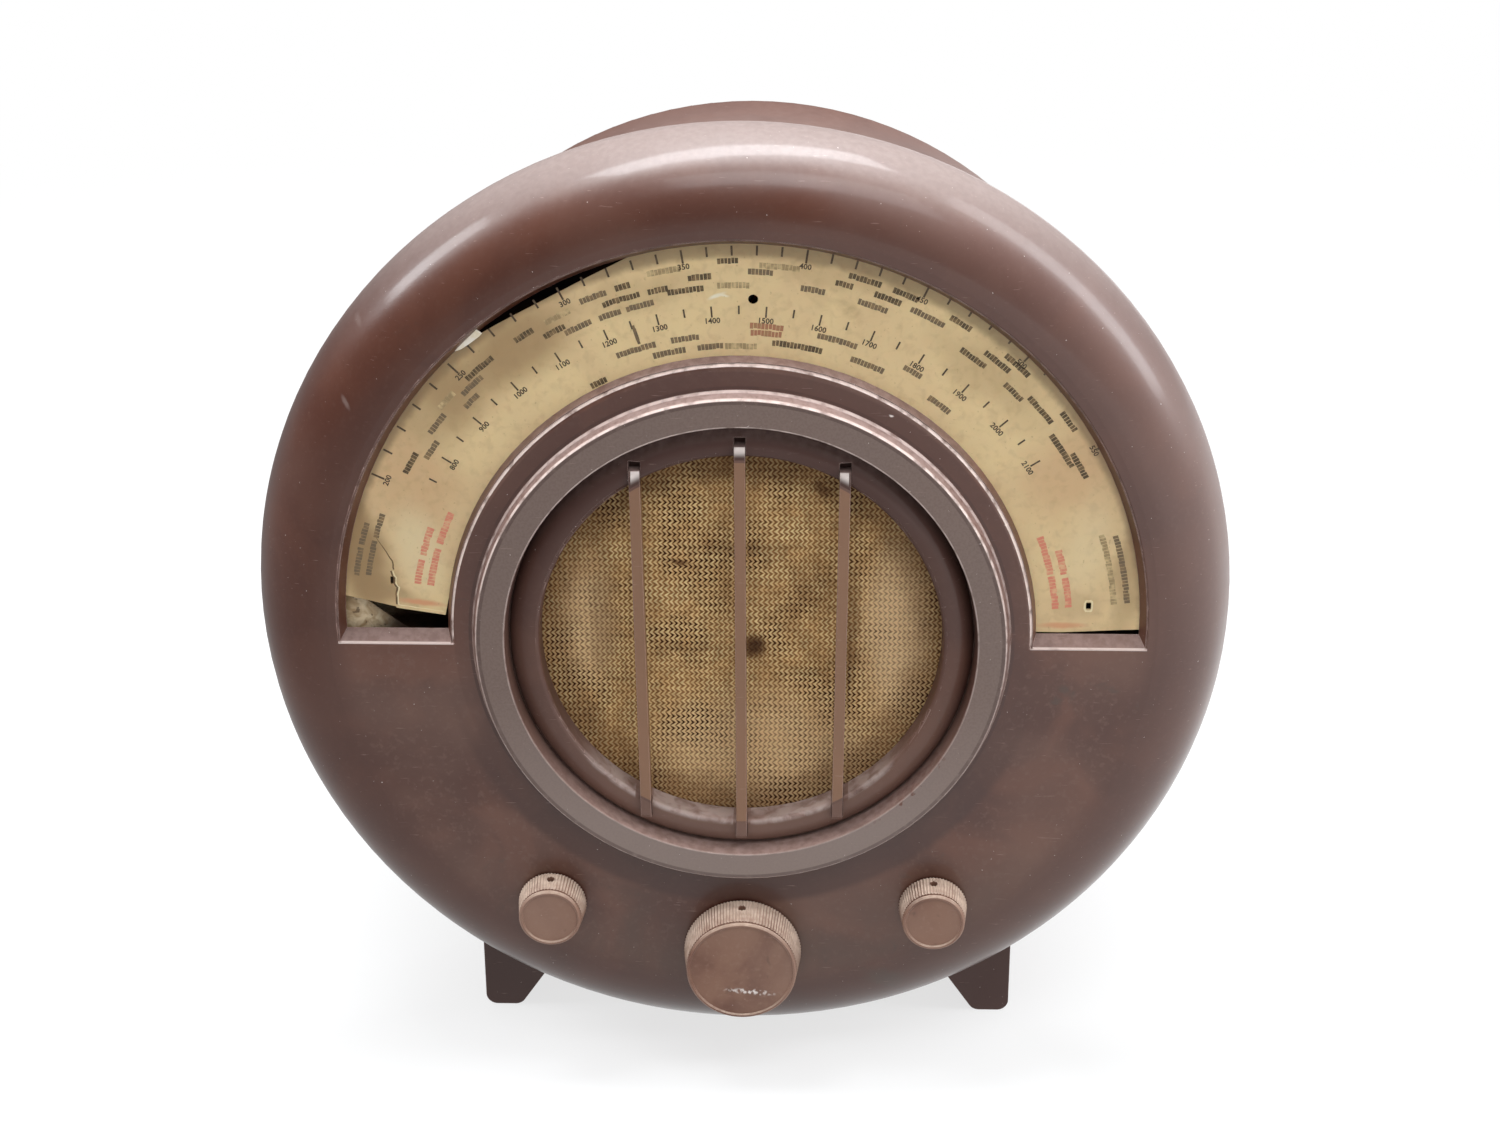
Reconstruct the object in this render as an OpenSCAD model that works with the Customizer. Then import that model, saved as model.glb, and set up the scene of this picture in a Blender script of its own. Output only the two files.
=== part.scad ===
// Round table radio in moulded phenolic, with a rolled rim, an arched dial and a round speaker opening.
// X is to the right, Y to the back and Z up. The origin is on the ground, under the middle of the set.

/* [Cabinet] */
// Radius of the rolled rim
rim_r = 197.5; // [190:0.5:206]
// Radius of the roll between the front panel and the rim
rim_round = 32; // [26:0.5:34]
// Depth of the rim from the front panel
rim_back = 50; // [46:1:56]
// Height of the rim's centre above the speaker's axis
rim_up = 5.5; // [3:0.5:8]
// Radius of the drum where it leaves the rim
drum_r = 171; // [170:0.5:176]
// Radius that the drum loses towards the back
drum_draft = 5.5; // [2:0.5:7]
// Depth of the cabinet from the front panel
case_d = 195; // [190:1:215]
// Rounding of the drum's back edge
drum_edge = 4; // [2:0.5:4.5]
// Wall of the moulding
wall = 5.2; // [4:0.1:5.4]

/* [Feet] */
// Height of the speaker's axis above the ground
axis_h = 203.5; // [202:0.5:212]
// Outer side of a foot from the middle
foot_out = 116.4; // [112:0.2:118]
// Width of a foot at the ground, before its rounding
foot_w = 15.6; // [14:0.2:18]
// Lean of a foot's inner side from the vertical
foot_lean = 34; // [28:1:38]
// Rounding of a foot's lower edges
foot_round = 5; // [2:0.5:6]
// Depth from the front panel to the feet
foot_front = 46.5; // [45:0.5:50]
// Wall at a foot's back end
foot_end = 6; // [4:0.5:10]

/* [Dial window] */
// Width of the rim outside the window
window_frame = 36.1; // [33:0.1:40]
// Inner radius of the window
window_in_r = 115.8; // [115:0.2:118]
// Height of the inner radius's centre above the speaker's axis
window_in_up = 1.8; // [0:0.1:3]
// Height of the window's sill from the speaker's axis
sill_z = -1.8; // [-6:0.1:2]
// Slope of the window's sill, across the wall
sill_slope = 4.6; // [1:0.1:5]
// Slope of the window's outer side, across the wall
window_bevel = 2.8; // [1:0.1:4]
// Slope of the window's inner side, across the wall
window_in_bevel = 2; // [0.5:0.1:2.4]
// Rounding of the window's inner lip
lip_round = 1.5; // [0.6:0.1:1.8]
// Rounding of the window's outer lip
out_lip_round = 0.7; // [0.4:0.1:1.2]

/* [Speaker surround] */
// Outer radius of the raised ring at the panel
ring_out_r = 107.5; // [106:0.1:110]
// Taper of the raised ring's outer side
ring_taper = 1.8; // [1:0.1:3]
// Height of the raised ring above the panel
ring_h = 6.2; // [4:0.1:9]
// Inner radius of the raised ring
ring_in_r = 94.4; // [94:0.1:96]
// Radius of the groove between the ring and the roll
groove_r = 93.2; // [92.5:0.1:93.5]
// Radius of the speaker opening
opening_r = 80.5; // [78:0.1:82]
// Section radius of the roll round the opening
roll_r = 10.2; // [9.8:0.1:11]
// Height of the roll's crest above the panel
roll_h = 2.2; // [1:0.1:4]
// Rounding of the roll's inner edge
roll_edge = 2; // [1:0.1:2.4]
// Depth of the surround behind the panel
surround_back = 8.8; // [8:0.1:10]
// Width of the hollow behind the ring
ring_hollow_w = 5; // [2:0.5:5.5]

/* [Grille] */
// Width of a grille bar
bar_w = 4.3; // [3:0.1:6]
// Depth of a grille bar
bar_d = 7.2; // [5:0.1:7.2]
// Spacing of the grille bars
bar_pitch = 40; // [36:0.5:48]
// Lean of the outer bars, their lower ends towards the middle
bar_lean = 0.7; // [0:0.1:1.5]
// Depth from the ring's face to the bars' front
bar_sunk = 1.5; // [1:0.1:3]
// Radius on which the bars end
bar_end_r = 86.4; // [84:0.2:87]
// Slope cut on the bars' ends
bar_chamfer = 1.8; // [0.5:0.1:2.4]
// Distance from the bars' ends to the ends of their slots
bar_slot_spare = 1.9; // [1.4:0.1:3]
// Distance that the bars have slipped down in their slots
bar_slip = 1.2; // [0:0.1:1.3]
// Radius of the grille cloth
cloth_r = 91; // [86:0.5:93]
// Thickness of the grille cloth
cloth_t = 0.6; // [0.4:0.1:1]

/* [Baffle] */
// Radius of the baffle board
baffle_r = 109.6; // [109:0.1:110]
// Thickness of the baffle board
baffle_t = 6; // [5:0.5:7]
// Radius of the baffle board's hole
baffle_hole_r = 82; // [80:0.5:84]
// Distance of the baffle screws from the baffle board's edge
baffle_screw_in = 4.2; // [4:0.1:4.6]

/* [Dial] */
// Thickness of the celluloid scale
scale_t = 0.6; // [0.5:0.1:0.7]
// How far the scale reaches behind the window's outer edge
scale_lap = 4.2; // [3.6:0.1:5]
// Inner radius of the scale, from the speaker's axis
scale_in_r = 113.4; // [113:0.2:114]
// Height of the scale's lower edge from the speaker's axis
scale_z = 3.4; // [2:0.2:6]
// Radius of the holes in the scale
scale_hole_r = 1.9; // [1.5:0.1:2.5]
// Depth of the light box behind the scale
box_d = 21; // [18:0.5:22]
// Sheet thickness of the light box
box_t = 0.8; // [0.6:0.1:1.2]
// How far the light box reaches behind the window's outer edge
box_lap = 3.2; // [2.2:0.1:3.6]
// Gap between the pointer ring and the light box
box_gap = 2.5; // [2:0.1:4]
// Distance from the window's outer edge to the screws of the light box's lugs
lug_out = 10.1; // [9:0.1:11.6]
// Radius of a dial lamp's bulb
lamp_r = 5.5; // [4.5:0.1:6]

/* [Pointer drive] */
// Angle of the pointer to the left of the vertical
pointer_rest = 17.5; // [0:0.5:60]
// Sweep of the pointer from end to end
pointer_sweep = 164; // [150:1:168]
// Distance from the pointer's tip to the window's outer edge
pointer_short = 9.9; // [5:0.1:14]
// Thickness of the pointer
pointer_t = 0.8; // [0.6:0.1:0.9]
// Radial width of the pointer ring
ring_wide = 5.5; // [5.2:0.1:5.9]
// Depth of the pointer ring's groove
ring_groove = 2; // [1.4:0.1:2.4]
// Width of the pointer ring
ring_drum_w = 7; // [6:0.1:7]
// Diameter of the drive cords
cord_d = 0.8; // [0.6:0.1:1]

/* [Knobs] */
// Radius of the tuning knob at its back
big_knob_r = 24.7; // [22:0.1:27]
// Length of the tuning knob
big_knob_l = 16.2; // [14:0.1:20]
// Radius of a small knob at its back
small_knob_r = 14.3; // [13:0.1:16]
// Length of a small knob
small_knob_l = 13; // [11.5:0.1:16]
// Taper of a knob's side, as a share of its length
knob_taper = 0.12; // [0.04:0.01:0.16]
// Distance between the ribs on a knob's side
knurl_pitch = 1.4; // [1.3:0.1:2]
// Depth of the ribs on a knob's side
knurl_depth = 0.45; // [0.3:0.05:0.6]
// Distance of the small knobs from the middle
knob_x = 79.4; // [76:0.2:82]
// Distance of the small knobs below the speaker's axis
knob_drop = 121.3; // [120.6:0.1:123]
// Distance of the tuning knob below the speaker's axis
tuning_drop = 143.8; // [143:0.2:146]
// Gap between the knobs and the panel
knob_gap = 1; // [0.6:0.1:1.5]
// Turn of the volume knob
volume_turn = 280; // [240:5:300]

/* [Spindles] */
// Radius of the three spindles
spindle_r = 3.175; // [3:0.025:3.2]
// Depth of a knob's hole for its spindle
knob_hole_d = 10; // [8:0.5:10.5]
// Radius of a grub screw
grub_r = 1.6; // [1.4:0.1:1.8]
// Radius of the neck that carries a spindle
neck_r = 4.7; // [4.5:0.1:5]
// Length of the neck in front of its plate
neck_l = 8; // [7:0.5:9]
// Radius of the volume control's body
volume_r = 14.6; // [12:0.2:14.8]
// Length of the volume control's body
volume_l = 15; // [12:1:18]
// Radius of the wave change switch's discs
switch_r = 14; // [12:0.5:14.5]
// Length of the wave change switch behind its plate
switch_l = 34; // [30:1:40]

/* [Speaker] */
// Outer radius of the speaker's frame
speaker_r = 99; // [96:0.5:100]
// Radius of the frame's bowl at its front
bowl_r = 88; // [86:0.5:89]
// Radius of the frame's bowl at its back
bowl_back_r = 45; // [43:0.5:46]
// Depth of the frame's bowl
bowl_d = 44; // [42:1:48]
// Sheet thickness of the frame
speaker_sheet = 1.6; // [1.2:0.1:2]
// Radius of the magnet pot
pot_r = 42; // [38:0.5:42.5]
// Length of the magnet pot
pot_l = 44; // [40:1:48]
// Radius of the pole
pole_r = 12.6; // [12:0.1:13]
// Width of the gap for the voice coil
coil_gap = 2.2; // [2:0.1:2.6]
// Travel of the cone to each side
cone_travel = 1; // [0.5:0.1:1.2]

/* [Chassis] */
// Half width of the chassis
chassis_x = 105; // [102:0.5:106]
// Depth from the front panel to the chassis
chassis_front = 58; // [57:0.5:60]
// Distance from the chassis to the cabinet's back edge
chassis_gap = 13; // [11:1:17]
// Depth of the chassis top below the speaker's axis
chassis_drop = 104; // [103:0.5:105]
// Height of the chassis
chassis_h = 37; // [36:0.5:37.5]
// Sheet thickness of the chassis
chassis_t = 1.2; // [1:0.1:1.6]
// Distance of the chassis bolts from the middle
bolt_x = 45; // [40:1:48]
// Radius of a chassis bolt
bolt_r = 2; // [1.8:0.1:2.4]

/* [Tuning gang] */
// Distance of the gang's axis from the middle
gang_x = 60; // [58:0.5:62]
// Height of the gang's axis above the chassis
gang_up = 23; // [22:0.5:24]
// Radius of the moving vanes
vane_r = 17; // [14:0.5:17]
// Thickness of a vane
vane_t = 0.6; // [0.5:0.05:0.8]
// Pitch of the moving vanes
vane_pitch = 2.4; // [2.2:0.1:2.6]
// Vanes in each section of the gang
vane_count = 5; // [3:1:5]
// Radius of the groove in the gang's drum
gang_drum_r = 32; // [28:0.5:33]
// Turn of the gang from end to end
gang_sweep = 180; // [170:1:180]

/* [Valves] */
// Spacing of the valves
valve_pitch = 42; // [41.6:0.1:44]
// Distance from the valves to the cabinet's back edge
valve_gap = 43; // [41:0.5:46]
// Radius of a valve's bulb
bulb_r = 19.5; // [17:0.5:19.5]
// Height of a valve above its holder
valve_h = 96; // [88:1:100]

/* [Rear cover] */
// Thickness of the rear cover
cover_t = 3; // [2:0.1:3.2]
// Depth of the cover's face below the drum's edge
cover_sunk = 2; // [1.9:0.1:3]
// Radius of the vent holes
vent_r = 4; // [3:0.25:4.5]
// Radius of the cord inlet
inlet_r = 4; // [3.5:0.25:4.5]

/* [Fits] */
// Clearance of a turning spindle in its bore
run_fit = 0.07; // [0.05:0.01:0.1]
// Clearance of fixed pieces in their seats
seat_fit = 0.3; // [0.2:0.05:0.4]
// Clearance of the pointer ring on the baffle board
ring_fit = 0.4; // [0.3:0.05:0.5]

/* [Hidden] */
$fn = 96;
CASE = "#5e4540";
KNOB = "#96725c";
STEEL = "#8f9093";
BRASS = "#b08d4a";
TIN = "#d9d6cb";
BOARD = "#8a6a48";
GLASS = "#c8d2d0";
BLACK = "#26231f";

rim_flat = rim_r - rim_round;
window_out_r = rim_r - window_frame;
scale_out_r = window_out_r + scale_lap;
scale_mid = (scale_in_r + scale_out_r) / 2;
baffle_screw_pcd_r = baffle_r - baffle_screw_in;
ring_drum_r = baffle_r + ring_fit + ring_wide;
box_out_r = window_out_r + box_lap;
box_in_r = ring_drum_r + box_gap;
lug_r = window_out_r + lug_out;
lamp_ring_r = (box_in_r + box_out_r) / 2;
pointer_tip_r = window_out_r - pointer_short;
drum_back_r = drum_r - drum_draft;
front_reach = knob_gap + big_knob_l;
front_y = (front_reach - case_d) / 2;
foot_in = foot_out - foot_w;
ring_face_r = ring_out_r - ring_taper;
roll_c = surround_back - roll_r;
bar_front = bar_sunk - ring_h;
slot_y = bar_front + bar_d;
cloth_y = surround_back;
baffle_y = cloth_y + cloth_t;
baffle_back = baffle_y + baffle_t;
scale_back = wall + scale_t;
box_back = scale_back + box_d;
pointer_y = scale_back + 1.1;
ring_y = pointer_y + pointer_t;
ring_mid = ring_y + ring_drum_w / 2;
groove_bed_r = ring_drum_r - ring_groove;
cord_bed = 0.3;
gang_turns = (gang_drum_r + cord_bed) / (spindle_r + cord_bed) * gang_sweep / 360;
pulley_r = (groove_bed_r + cord_bed) * pointer_sweep / 360 / gang_turns - cord_bed;
gang_rest = gang_sweep * (pointer_sweep / 2 - pointer_rest) / pointer_sweep;
knob_front = knob_gap + small_knob_l;
chassis_top = -chassis_drop;
chassis_low = chassis_top - chassis_h;
chassis_back = case_d - chassis_gap;
valve_y = case_d - valve_gap;
gang_z = chassis_top + gang_up;
drum_y = chassis_front - 15;
drum_w = 4.5;
bracket_t = 1.4;
bracket_y = chassis_front - bracket_t;
bowl_y = baffle_back;
pot_y = bowl_y + bowl_d + speaker_sheet;
cover_y = case_d - cover_sunk - cover_t;
cover_r = drum_r_at(cover_y) - wall - 0.7;
cover_screw_r = cover_r - 3.5;
screw_r = 1.6;
bolt_seat = -chassis_drop - chassis_h - 6.5;
bolt_y = [chassis_front + 10, chassis_back - 10];
lug_angles = [-72, 0, 72];
lamp_angles = [-50, 0, 50];
cover_angles = [0, 60, 120, 180, 240, 300];
valve_n = 5;

// Radius of the drum at a depth from the front panel
function drum_r_at(y) = drum_r - drum_draft * (y - rim_back) / (case_d - rim_back);
// Point at an angle from the top, clockwise as seen from the front
function spot(angle, r, up = 0) = [r * sin(angle), up + r * cos(angle)];
// Span of a straight cut across a circle at a height
function half_chord(r, z) = sqrt(r * r - z * z);

// Everything is drawn from the speaker's axis on the front panel, and stood on the ground here
module stand() {
    translate([0, front_y, axis_h])
        children();
}

// Turned shape, from a profile of radius and depth
module turned(x = 0, z = 0) {
    translate([x, 0, z])
        rotate([-90, 0, 0])
            rotate_extrude()
                children();
}

// Round bar along the depth
module rod(x, z, y0, y1, r) {
    translate([x, y0, z])
        rotate([-90, 0, 0])
            cylinder(r = r, h = y1 - y0);
}

// Flat shape in the plane of the front, between two depths
module slab(y0, y1) {
    translate([0, y1, 0])
        rotate([90, 0, 0])
            linear_extrude(y1 - y0)
                children();
}

// Upright round bar
module post(x, y, z0, z1, r) {
    translate([x, y, z0])
        cylinder(r = r, h = z1 - z0);
}

// Box between two corners
module block(x0, x1, y0, y1, z0, z1) {
    translate([x0, y0, z0])
        cube([x1 - x0, y1 - y0, z1 - z0]);
}

// Screw along the depth, its head at the back
module back_screw(x, z, tip, seat, r, head_r, head_h) {
    rod(x, z, tip, seat + head_h / 2, r);
    difference() {
        rod(x, z, seat, seat + head_h, head_r);
        block(x - head_r, x + head_r, seat + head_h - 0.8, seat + head_h + 1, z - 0.5, z + 0.5);
    }
}

// Half of a rounded corner, taken off an edge at a radius: side is 1 where the wall lies outside
module lip_cut(r, side, round) {
    difference() {
        translate([side > 0 ? r - 0.5 : r - round, -0.5])
            square([round + 0.5, round + 0.5]);
        translate([r + side * round, round])
            circle(round);
    }
}

module foot_section(inset) {
    r = max(foot_round - inset, 0.8);
    low = inset - axis_h;
    high = rim_up - half_chord(drum_back_r - wall - 3, foot_out);
    out = foot_out - inset;
    edge_at_c = foot_in + inset / cos(foot_lean) - (inset + r) * tan(foot_lean);
    edge_at_top = foot_in + inset / cos(foot_lean) - (high + axis_h) * tan(foot_lean);
    out_c = [out - r, low + r];
    in_c = [edge_at_c + r / cos(foot_lean), low + r];
    translate(out_c)
        circle(r);
    translate(in_c)
        circle(r);
    polygon([
        out_c + [r, 0],
        [out, high],
        [edge_at_top, high],
        in_c - r * [cos(foot_lean), sin(foot_lean)],
        in_c - [0, r],
        out_c - [0, r]
    ]);
}

module both_sides() {
    children();
    mirror([1, 0, 0])
        children();
}

module case_body() {
    turned(0, rim_up) {
        intersection() {
            union() {
                square([rim_flat, rim_back]);
                translate([rim_flat, rim_round])
                    circle(rim_round);
            }
            square([rim_r + 1, rim_back]);
        }
    }
    turned(0, rim_up) {
        polygon([
            [0, rim_back - wall / 2],
            [drum_r_at(rim_back - wall / 2), rim_back - wall / 2],
            [drum_back_r, case_d - drum_edge],
            [drum_back_r - drum_edge, case_d],
            [0, case_d]
        ]);
        translate([drum_back_r - drum_edge, case_d - drum_edge])
            circle(drum_edge);
    }
}

module feet_bodies(inset, y0, y1) {
    both_sides()
        slab(y0, y1)
            foot_section(inset);
}

module case_cavity() {
    turned(0, rim_up) {
        intersection() {
            union() {
                translate([0, wall])
                    square([rim_flat, rim_back - 2 * wall]);
                translate([rim_flat, rim_round])
                    circle(rim_round - wall);
            }
            square([rim_r + 1, rim_back - wall]);
        }
    }
    turned(0, rim_up)
        polygon([
            [0, rim_back - 2 * wall],
            [drum_r_at(rim_back - 2 * wall) - wall, rim_back - 2 * wall],
            [drum_r_at(case_d + 1) - wall, case_d + 1],
            [0, case_d + 1]
        ]);
    feet_bodies(wall, rim_back + wall, case_d - foot_end);
    both_sides()
        slab(rim_back + wall, case_d + 1)
            shoulder(wall);
}

// Upper part of a foot's hollow, which runs through to the back so that the chassis can be slid in
module shoulder(inset) {
    intersection() {
        foot_section(inset);
        translate([0, chassis_low - 3 + inset - wall])
            square([rim_r, chassis_h]);
    }
}

module ring_profile() {
    difference() {
        polygon([
            [groove_r, surround_back],
            [groove_r, 2],
            [ring_in_r - 0.3, 0.3 - ring_h],
            [ring_in_r, -ring_h],
            [ring_face_r - 0.5, -ring_h],
            [ring_face_r, 0.5 - ring_h],
            [ring_out_r, 0],
            [ring_out_r, surround_back]
        ]);
        translate([ring_in_r + 2.6, 3.5 - ring_h])
            square([ring_hollow_w, ring_h + surround_back]);
    }
}

// Section of the roll round the opening: its inner edge is a smaller arc that runs into the roll's own
module roll_profile() {
    mid = [opening_r + roll_edge + 1, roll_r - roll_h];
    edge = mid - [1, half_chord(roll_r - roll_edge, 1)];
    way = (edge - mid) / norm(edge - mid);
    intersection() {
        translate(mid)
            circle(roll_r);
        polygon([
            mid + (roll_r + 4) * way,
            [groove_r + 0.2, -ring_h],
            [groove_r + 0.2, surround_back],
            [mid[0], surround_back],
            mid
        ]);
    }
    intersection() {
        translate(edge)
            circle(roll_edge);
        polygon([
            edge,
            edge + 1.5 * roll_edge * way,
            [opening_r - 1, edge[1] - 1.5 * roll_edge],
            [opening_r - 1, edge[1]]
        ]);
    }
    polygon([[opening_r, edge[1]], edge, mid, [mid[0], surround_back], [opening_r, surround_back]]);
}

module window_cutter() {
    difference() {
        translate([0, 0, rim_up])
            rotate([-90, 0, 0])
                translate([0, 0, -0.01])
                    cylinder(r1 = window_out_r, r2 = window_out_r - window_bevel, h = wall + 0.02);
        translate([0, 0, window_in_up])
            rotate([-90, 0, 0])
                translate([0, 0, -0.02])
                    cylinder(r1 = window_in_r, r2 = window_in_r + window_in_bevel, h = wall + 0.04);
        translate([0, 0, sill_z])
            rotate([atan2(sill_slope, wall), 0, 0])
                translate([-rim_r, -rim_r, -2 * rim_r])
                    cube([2 * rim_r, rim_r + 4 * wall, 2 * rim_r]);
    }
}

module window_lips() {
    intersection() {
        union() {
            turned(0, window_in_up)
                lip_cut(window_in_r, -1, lip_round);
            turned(0, rim_up)
                lip_cut(window_out_r, 1, out_lip_round);
        }
        block(-rim_r, rim_r, -1, wall, sill_z, rim_r);
    }
}

module bar_row(slot) {
    for (i = [-1 : 1]) {
        x = i * bar_pitch;
        reach = half_chord(bar_end_r, x);
        if (slot) {
            spare = bar_slot_spare;
            half = bar_w / 2 + seat_fit / 2;
            rotate([0, i * bar_lean, 0])
                block(x - half, x + half, bar_front - 1, slot_y, -reach - spare, reach + spare);
        } else {
            rotate([0, i * bar_lean, 0])
                translate([x + bar_w / 2, 0, -bar_slip])
                    rotate([90, 0, -90])
                        linear_extrude(bar_w)
                            bar_side(reach);
        }
    }
}

// Side of a bar: across is its depth, and up its length
module bar_side(reach) {
    back = bar_front + bar_d;
    polygon([
        [-bar_front, -reach + bar_chamfer],
        [-bar_front - bar_chamfer * 0.6, -reach],
        [-back, -reach],
        [-back, reach],
        [-bar_front - bar_chamfer * 0.6, reach],
        [-bar_front, reach - bar_chamfer]
    ]);
}

module cabinet_bosses() {
    for (a = lug_angles) {
        p = spot(a, lug_r, rim_up);
        rod(p[0], p[1], wall - 1, box_back - box_t, 4.2);
    }
    for (a = cover_angles) {
        p = spot(a, cover_screw_r, rim_up);
        rod(p[0], p[1], cover_y - 26, cover_y, 5.5);
    }
    both_sides()
        for (y = bolt_y)
            post(bolt_x, y, rim_up - drum_r, chassis_low, 8.5);
}

module cabinet_holes() {
    for (a = lug_angles) {
        p = spot(a, lug_r, rim_up);
        rod(p[0], p[1], box_back - 13, box_back + 1, screw_r);
    }
    for (a = cover_angles) {
        p = spot(a, cover_screw_r, rim_up);
        rod(p[0], p[1], cover_y - 15, cover_y + 1, screw_r);
    }
    both_sides()
        for (y = bolt_y) {
            post(bolt_x, y, rim_up - drum_r - 5, bolt_seat, 5.4);
            post(bolt_x, y, bolt_seat - 1, chassis_low + 1, bolt_r + seat_fit);
        }
    both_sides()
        rod(knob_x, -knob_drop, -1, wall + 1, spindle_r + 1.2);
    rod(0, -tuning_drop, -1, wall + 1, spindle_r + 1.2);
}

module baffle_screw_holes() {
    for (a = [45 : 90 : 315]) {
        p = spot(a, baffle_screw_pcd_r);
        rod(p[0], p[1], 0, surround_back + 1, 1.4);
    }
}

module cabinet() {
    color(CASE) stand()
        difference() {
            union() {
                difference() {
                    union() {
                        case_body();
                        feet_bodies(0, foot_front, case_d);
                    }
                    case_cavity();
                    rod(0, 0, -1, wall + 1, ring_in_r + ring_hollow_w + 3);
                    window_cutter();
                    window_lips();
                }
                turned() {
                    ring_profile();
                    roll_profile();
                }
                intersection() {
                    cabinet_bosses();
                    case_body();
                }
            }
            bar_row(true);
            cabinet_holes();
            baffle_screw_holes();
        }
}

module grille_bars() {
    color(CASE) stand()
        bar_row(false);
}

module grille_cloth() {
    color("#a98a52") stand()
        rod(0, 0, cloth_y, cloth_y + cloth_t, cloth_r);
}

module baffle_board() {
    color(BOARD) stand()
        difference() {
            rod(0, 0, baffle_y, baffle_back, baffle_r);
            rod(0, 0, baffle_y - 1, baffle_back + 1, baffle_hole_r);
            for (a = [45 : 90 : 315]) {
                p = spot(a, baffle_screw_pcd_r);
                rod(p[0], p[1], baffle_y - 1, baffle_back + 1, 1.4 + seat_fit);
            }
            for (a = [0 : 60 : 300]) {
                p = spot(a, (bowl_r + speaker_r) / 2);
                rod(p[0], p[1], baffle_back - 5.5, baffle_back + 1, 1.5);
            }
            for (a = [0 : 120 : 240]) {
                p = spot(a, baffle_r - 6);
                rod(p[0], p[1], baffle_back - 4, baffle_back + 1, 1.1);
            }
        }
}

module baffle_screws() {
    color(BRASS) stand()
        for (a = [45 : 90 : 315]) {
            p = spot(a, baffle_screw_pcd_r);
            back_screw(p[0], p[1], 2, baffle_back, 1.35, 2.8, 1.6);
        }
}

// Outline of the celluloid scale: it has shrunk away from the window's edge at the upper left, and its
// lower left corner has curled up and cracked
module scale_outline() {
    difference() {
        intersection() {
            translate([0, rim_up])
                circle(scale_out_r);
            translate([-rim_r, scale_z])
                square([2 * rim_r, rim_r]);
        }
        circle(scale_in_r);
        polygon([
            [-rim_r, scale_z - 1],
            [-rim_r, scale_z + 20],
            [7.6 - scale_out_r, scale_z + 13.5],
            [1.1 - scale_mid, scale_z + 8.8],
            [1.5 - scale_mid, scale_z + 8.2],
            [-scale_in_r - 5.2, scale_z + 5.2],
            [0.9 - scale_in_r, scale_z + 33],
            [8.4 - scale_in_r, scale_z - 1]
        ]);
        polygon([
            [scale_in_r - 4, scale_z - 1],
            [scale_out_r - 15.6, scale_z + 1.1],
            [rim_r, scale_z + 2.8],
            [rim_r, scale_z - 1]
        ]);
        polygon([
            spot(-50, scale_out_r + 40, rim_up),
            spot(-44, window_out_r - 1.2, rim_up),
            spot(-36, window_out_r - 5, rim_up),
            spot(-28.5, window_out_r - 6.4, rim_up),
            spot(-21, window_out_r - 5.2, rim_up),
            spot(-13, window_out_r - 1.2, rim_up),
            spot(-7, scale_out_r + 40, rim_up)
        ]);
        translate(spot(2.1, scale_mid + rim_up / 2))
            circle(scale_hole_r);
        translate([0.5 - scale_mid, scale_z + 20.3])
            square([1.8, 3.2], center = true);
        translate([scale_mid - 1.4, scale_z + 11.6])
            square([2, 2.8], center = true);
    }
}

module dial_scale() {
    color("#d9bc85") stand()
        slab(wall, scale_back)
            scale_outline();
}

module box_outline(out_r, in_r) {
    difference() {
        intersection() {
            translate([0, rim_up])
                circle(out_r);
            translate([-rim_r, sill_z])
                square([2 * rim_r, rim_r]);
        }
        circle(in_r);
    }
}

module light_box() {
    color(TIN) stand()
        difference() {
            union() {
                slab(box_back - box_t, box_back) {
                    box_outline(box_out_r, box_in_r);
                    for (a = lug_angles)
                        translate([0, rim_up])
                            rotate(-a)
                                translate([-5, box_out_r - 4])
                                    square([10, lug_r - box_out_r + 8.5]);
                }
                slab(scale_back, box_back)
                    difference() {
                        box_outline(box_out_r, box_in_r);
                        translate([0, rim_up])
                            circle(box_out_r - box_t);
                    }
                slab(ring_y + ring_drum_w, box_back)
                    intersection() {
                        box_outline(box_out_r, box_in_r);
                        circle(box_in_r + box_t);
                    }
                slab(scale_back, box_back)
                    intersection() {
                        box_outline(box_out_r, box_in_r);
                        translate([-rim_r, sill_z - 1])
                            square([2 * rim_r, box_t + 1]);
                    }
                slab(pointer_y + pointer_t + 0.8, pointer_y + pointer_t + 1.6)
                    intersection() {
                        box_outline(box_out_r, box_in_r);
                        polygon([
                            [-rim_r, sill_z],
                            [-rim_r, sill_z + 40],
                            [-152, sill_z + 16.5],
                            [-131, sill_z]
                        ]);
                    }
            }
            for (a = lug_angles) {
                p = spot(a, lug_r, rim_up);
                rod(p[0], p[1], box_back - box_t - 1, box_back + 1, screw_r + seat_fit);
            }
            for (a = lamp_angles) {
                p = spot(a, lamp_ring_r);
                rod(p[0], p[1], box_back - 2, box_back + 1, lamp_r + 2);
            }
        }
}

module light_box_screws() {
    color(STEEL) stand()
        for (a = lug_angles) {
            p = spot(a, lug_r, rim_up);
            back_screw(p[0], p[1], box_back - 10, box_back, screw_r - 0.1, 3.4, 2);
        }
}

module lamp_holders() {
    color(BRASS) stand()
        for (a = lamp_angles) {
            p = spot(a, lamp_ring_r);
            turned(p[0], p[1])
                polygon([
                    [lamp_r - 0.4, box_back - 6],
                    [lamp_r + 1.6, box_back - 6],
                    [lamp_r + 1.6, box_back],
                    [lamp_r + 4, box_back],
                    [lamp_r + 4, box_back + 1],
                    [lamp_r + 1.6, box_back + 1],
                    [lamp_r + 1.6, box_back + 12],
                    [0, box_back + 12],
                    [0, box_back + 10],
                    [lamp_r - 0.4, box_back + 10]
                ]);
        }
}

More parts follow.
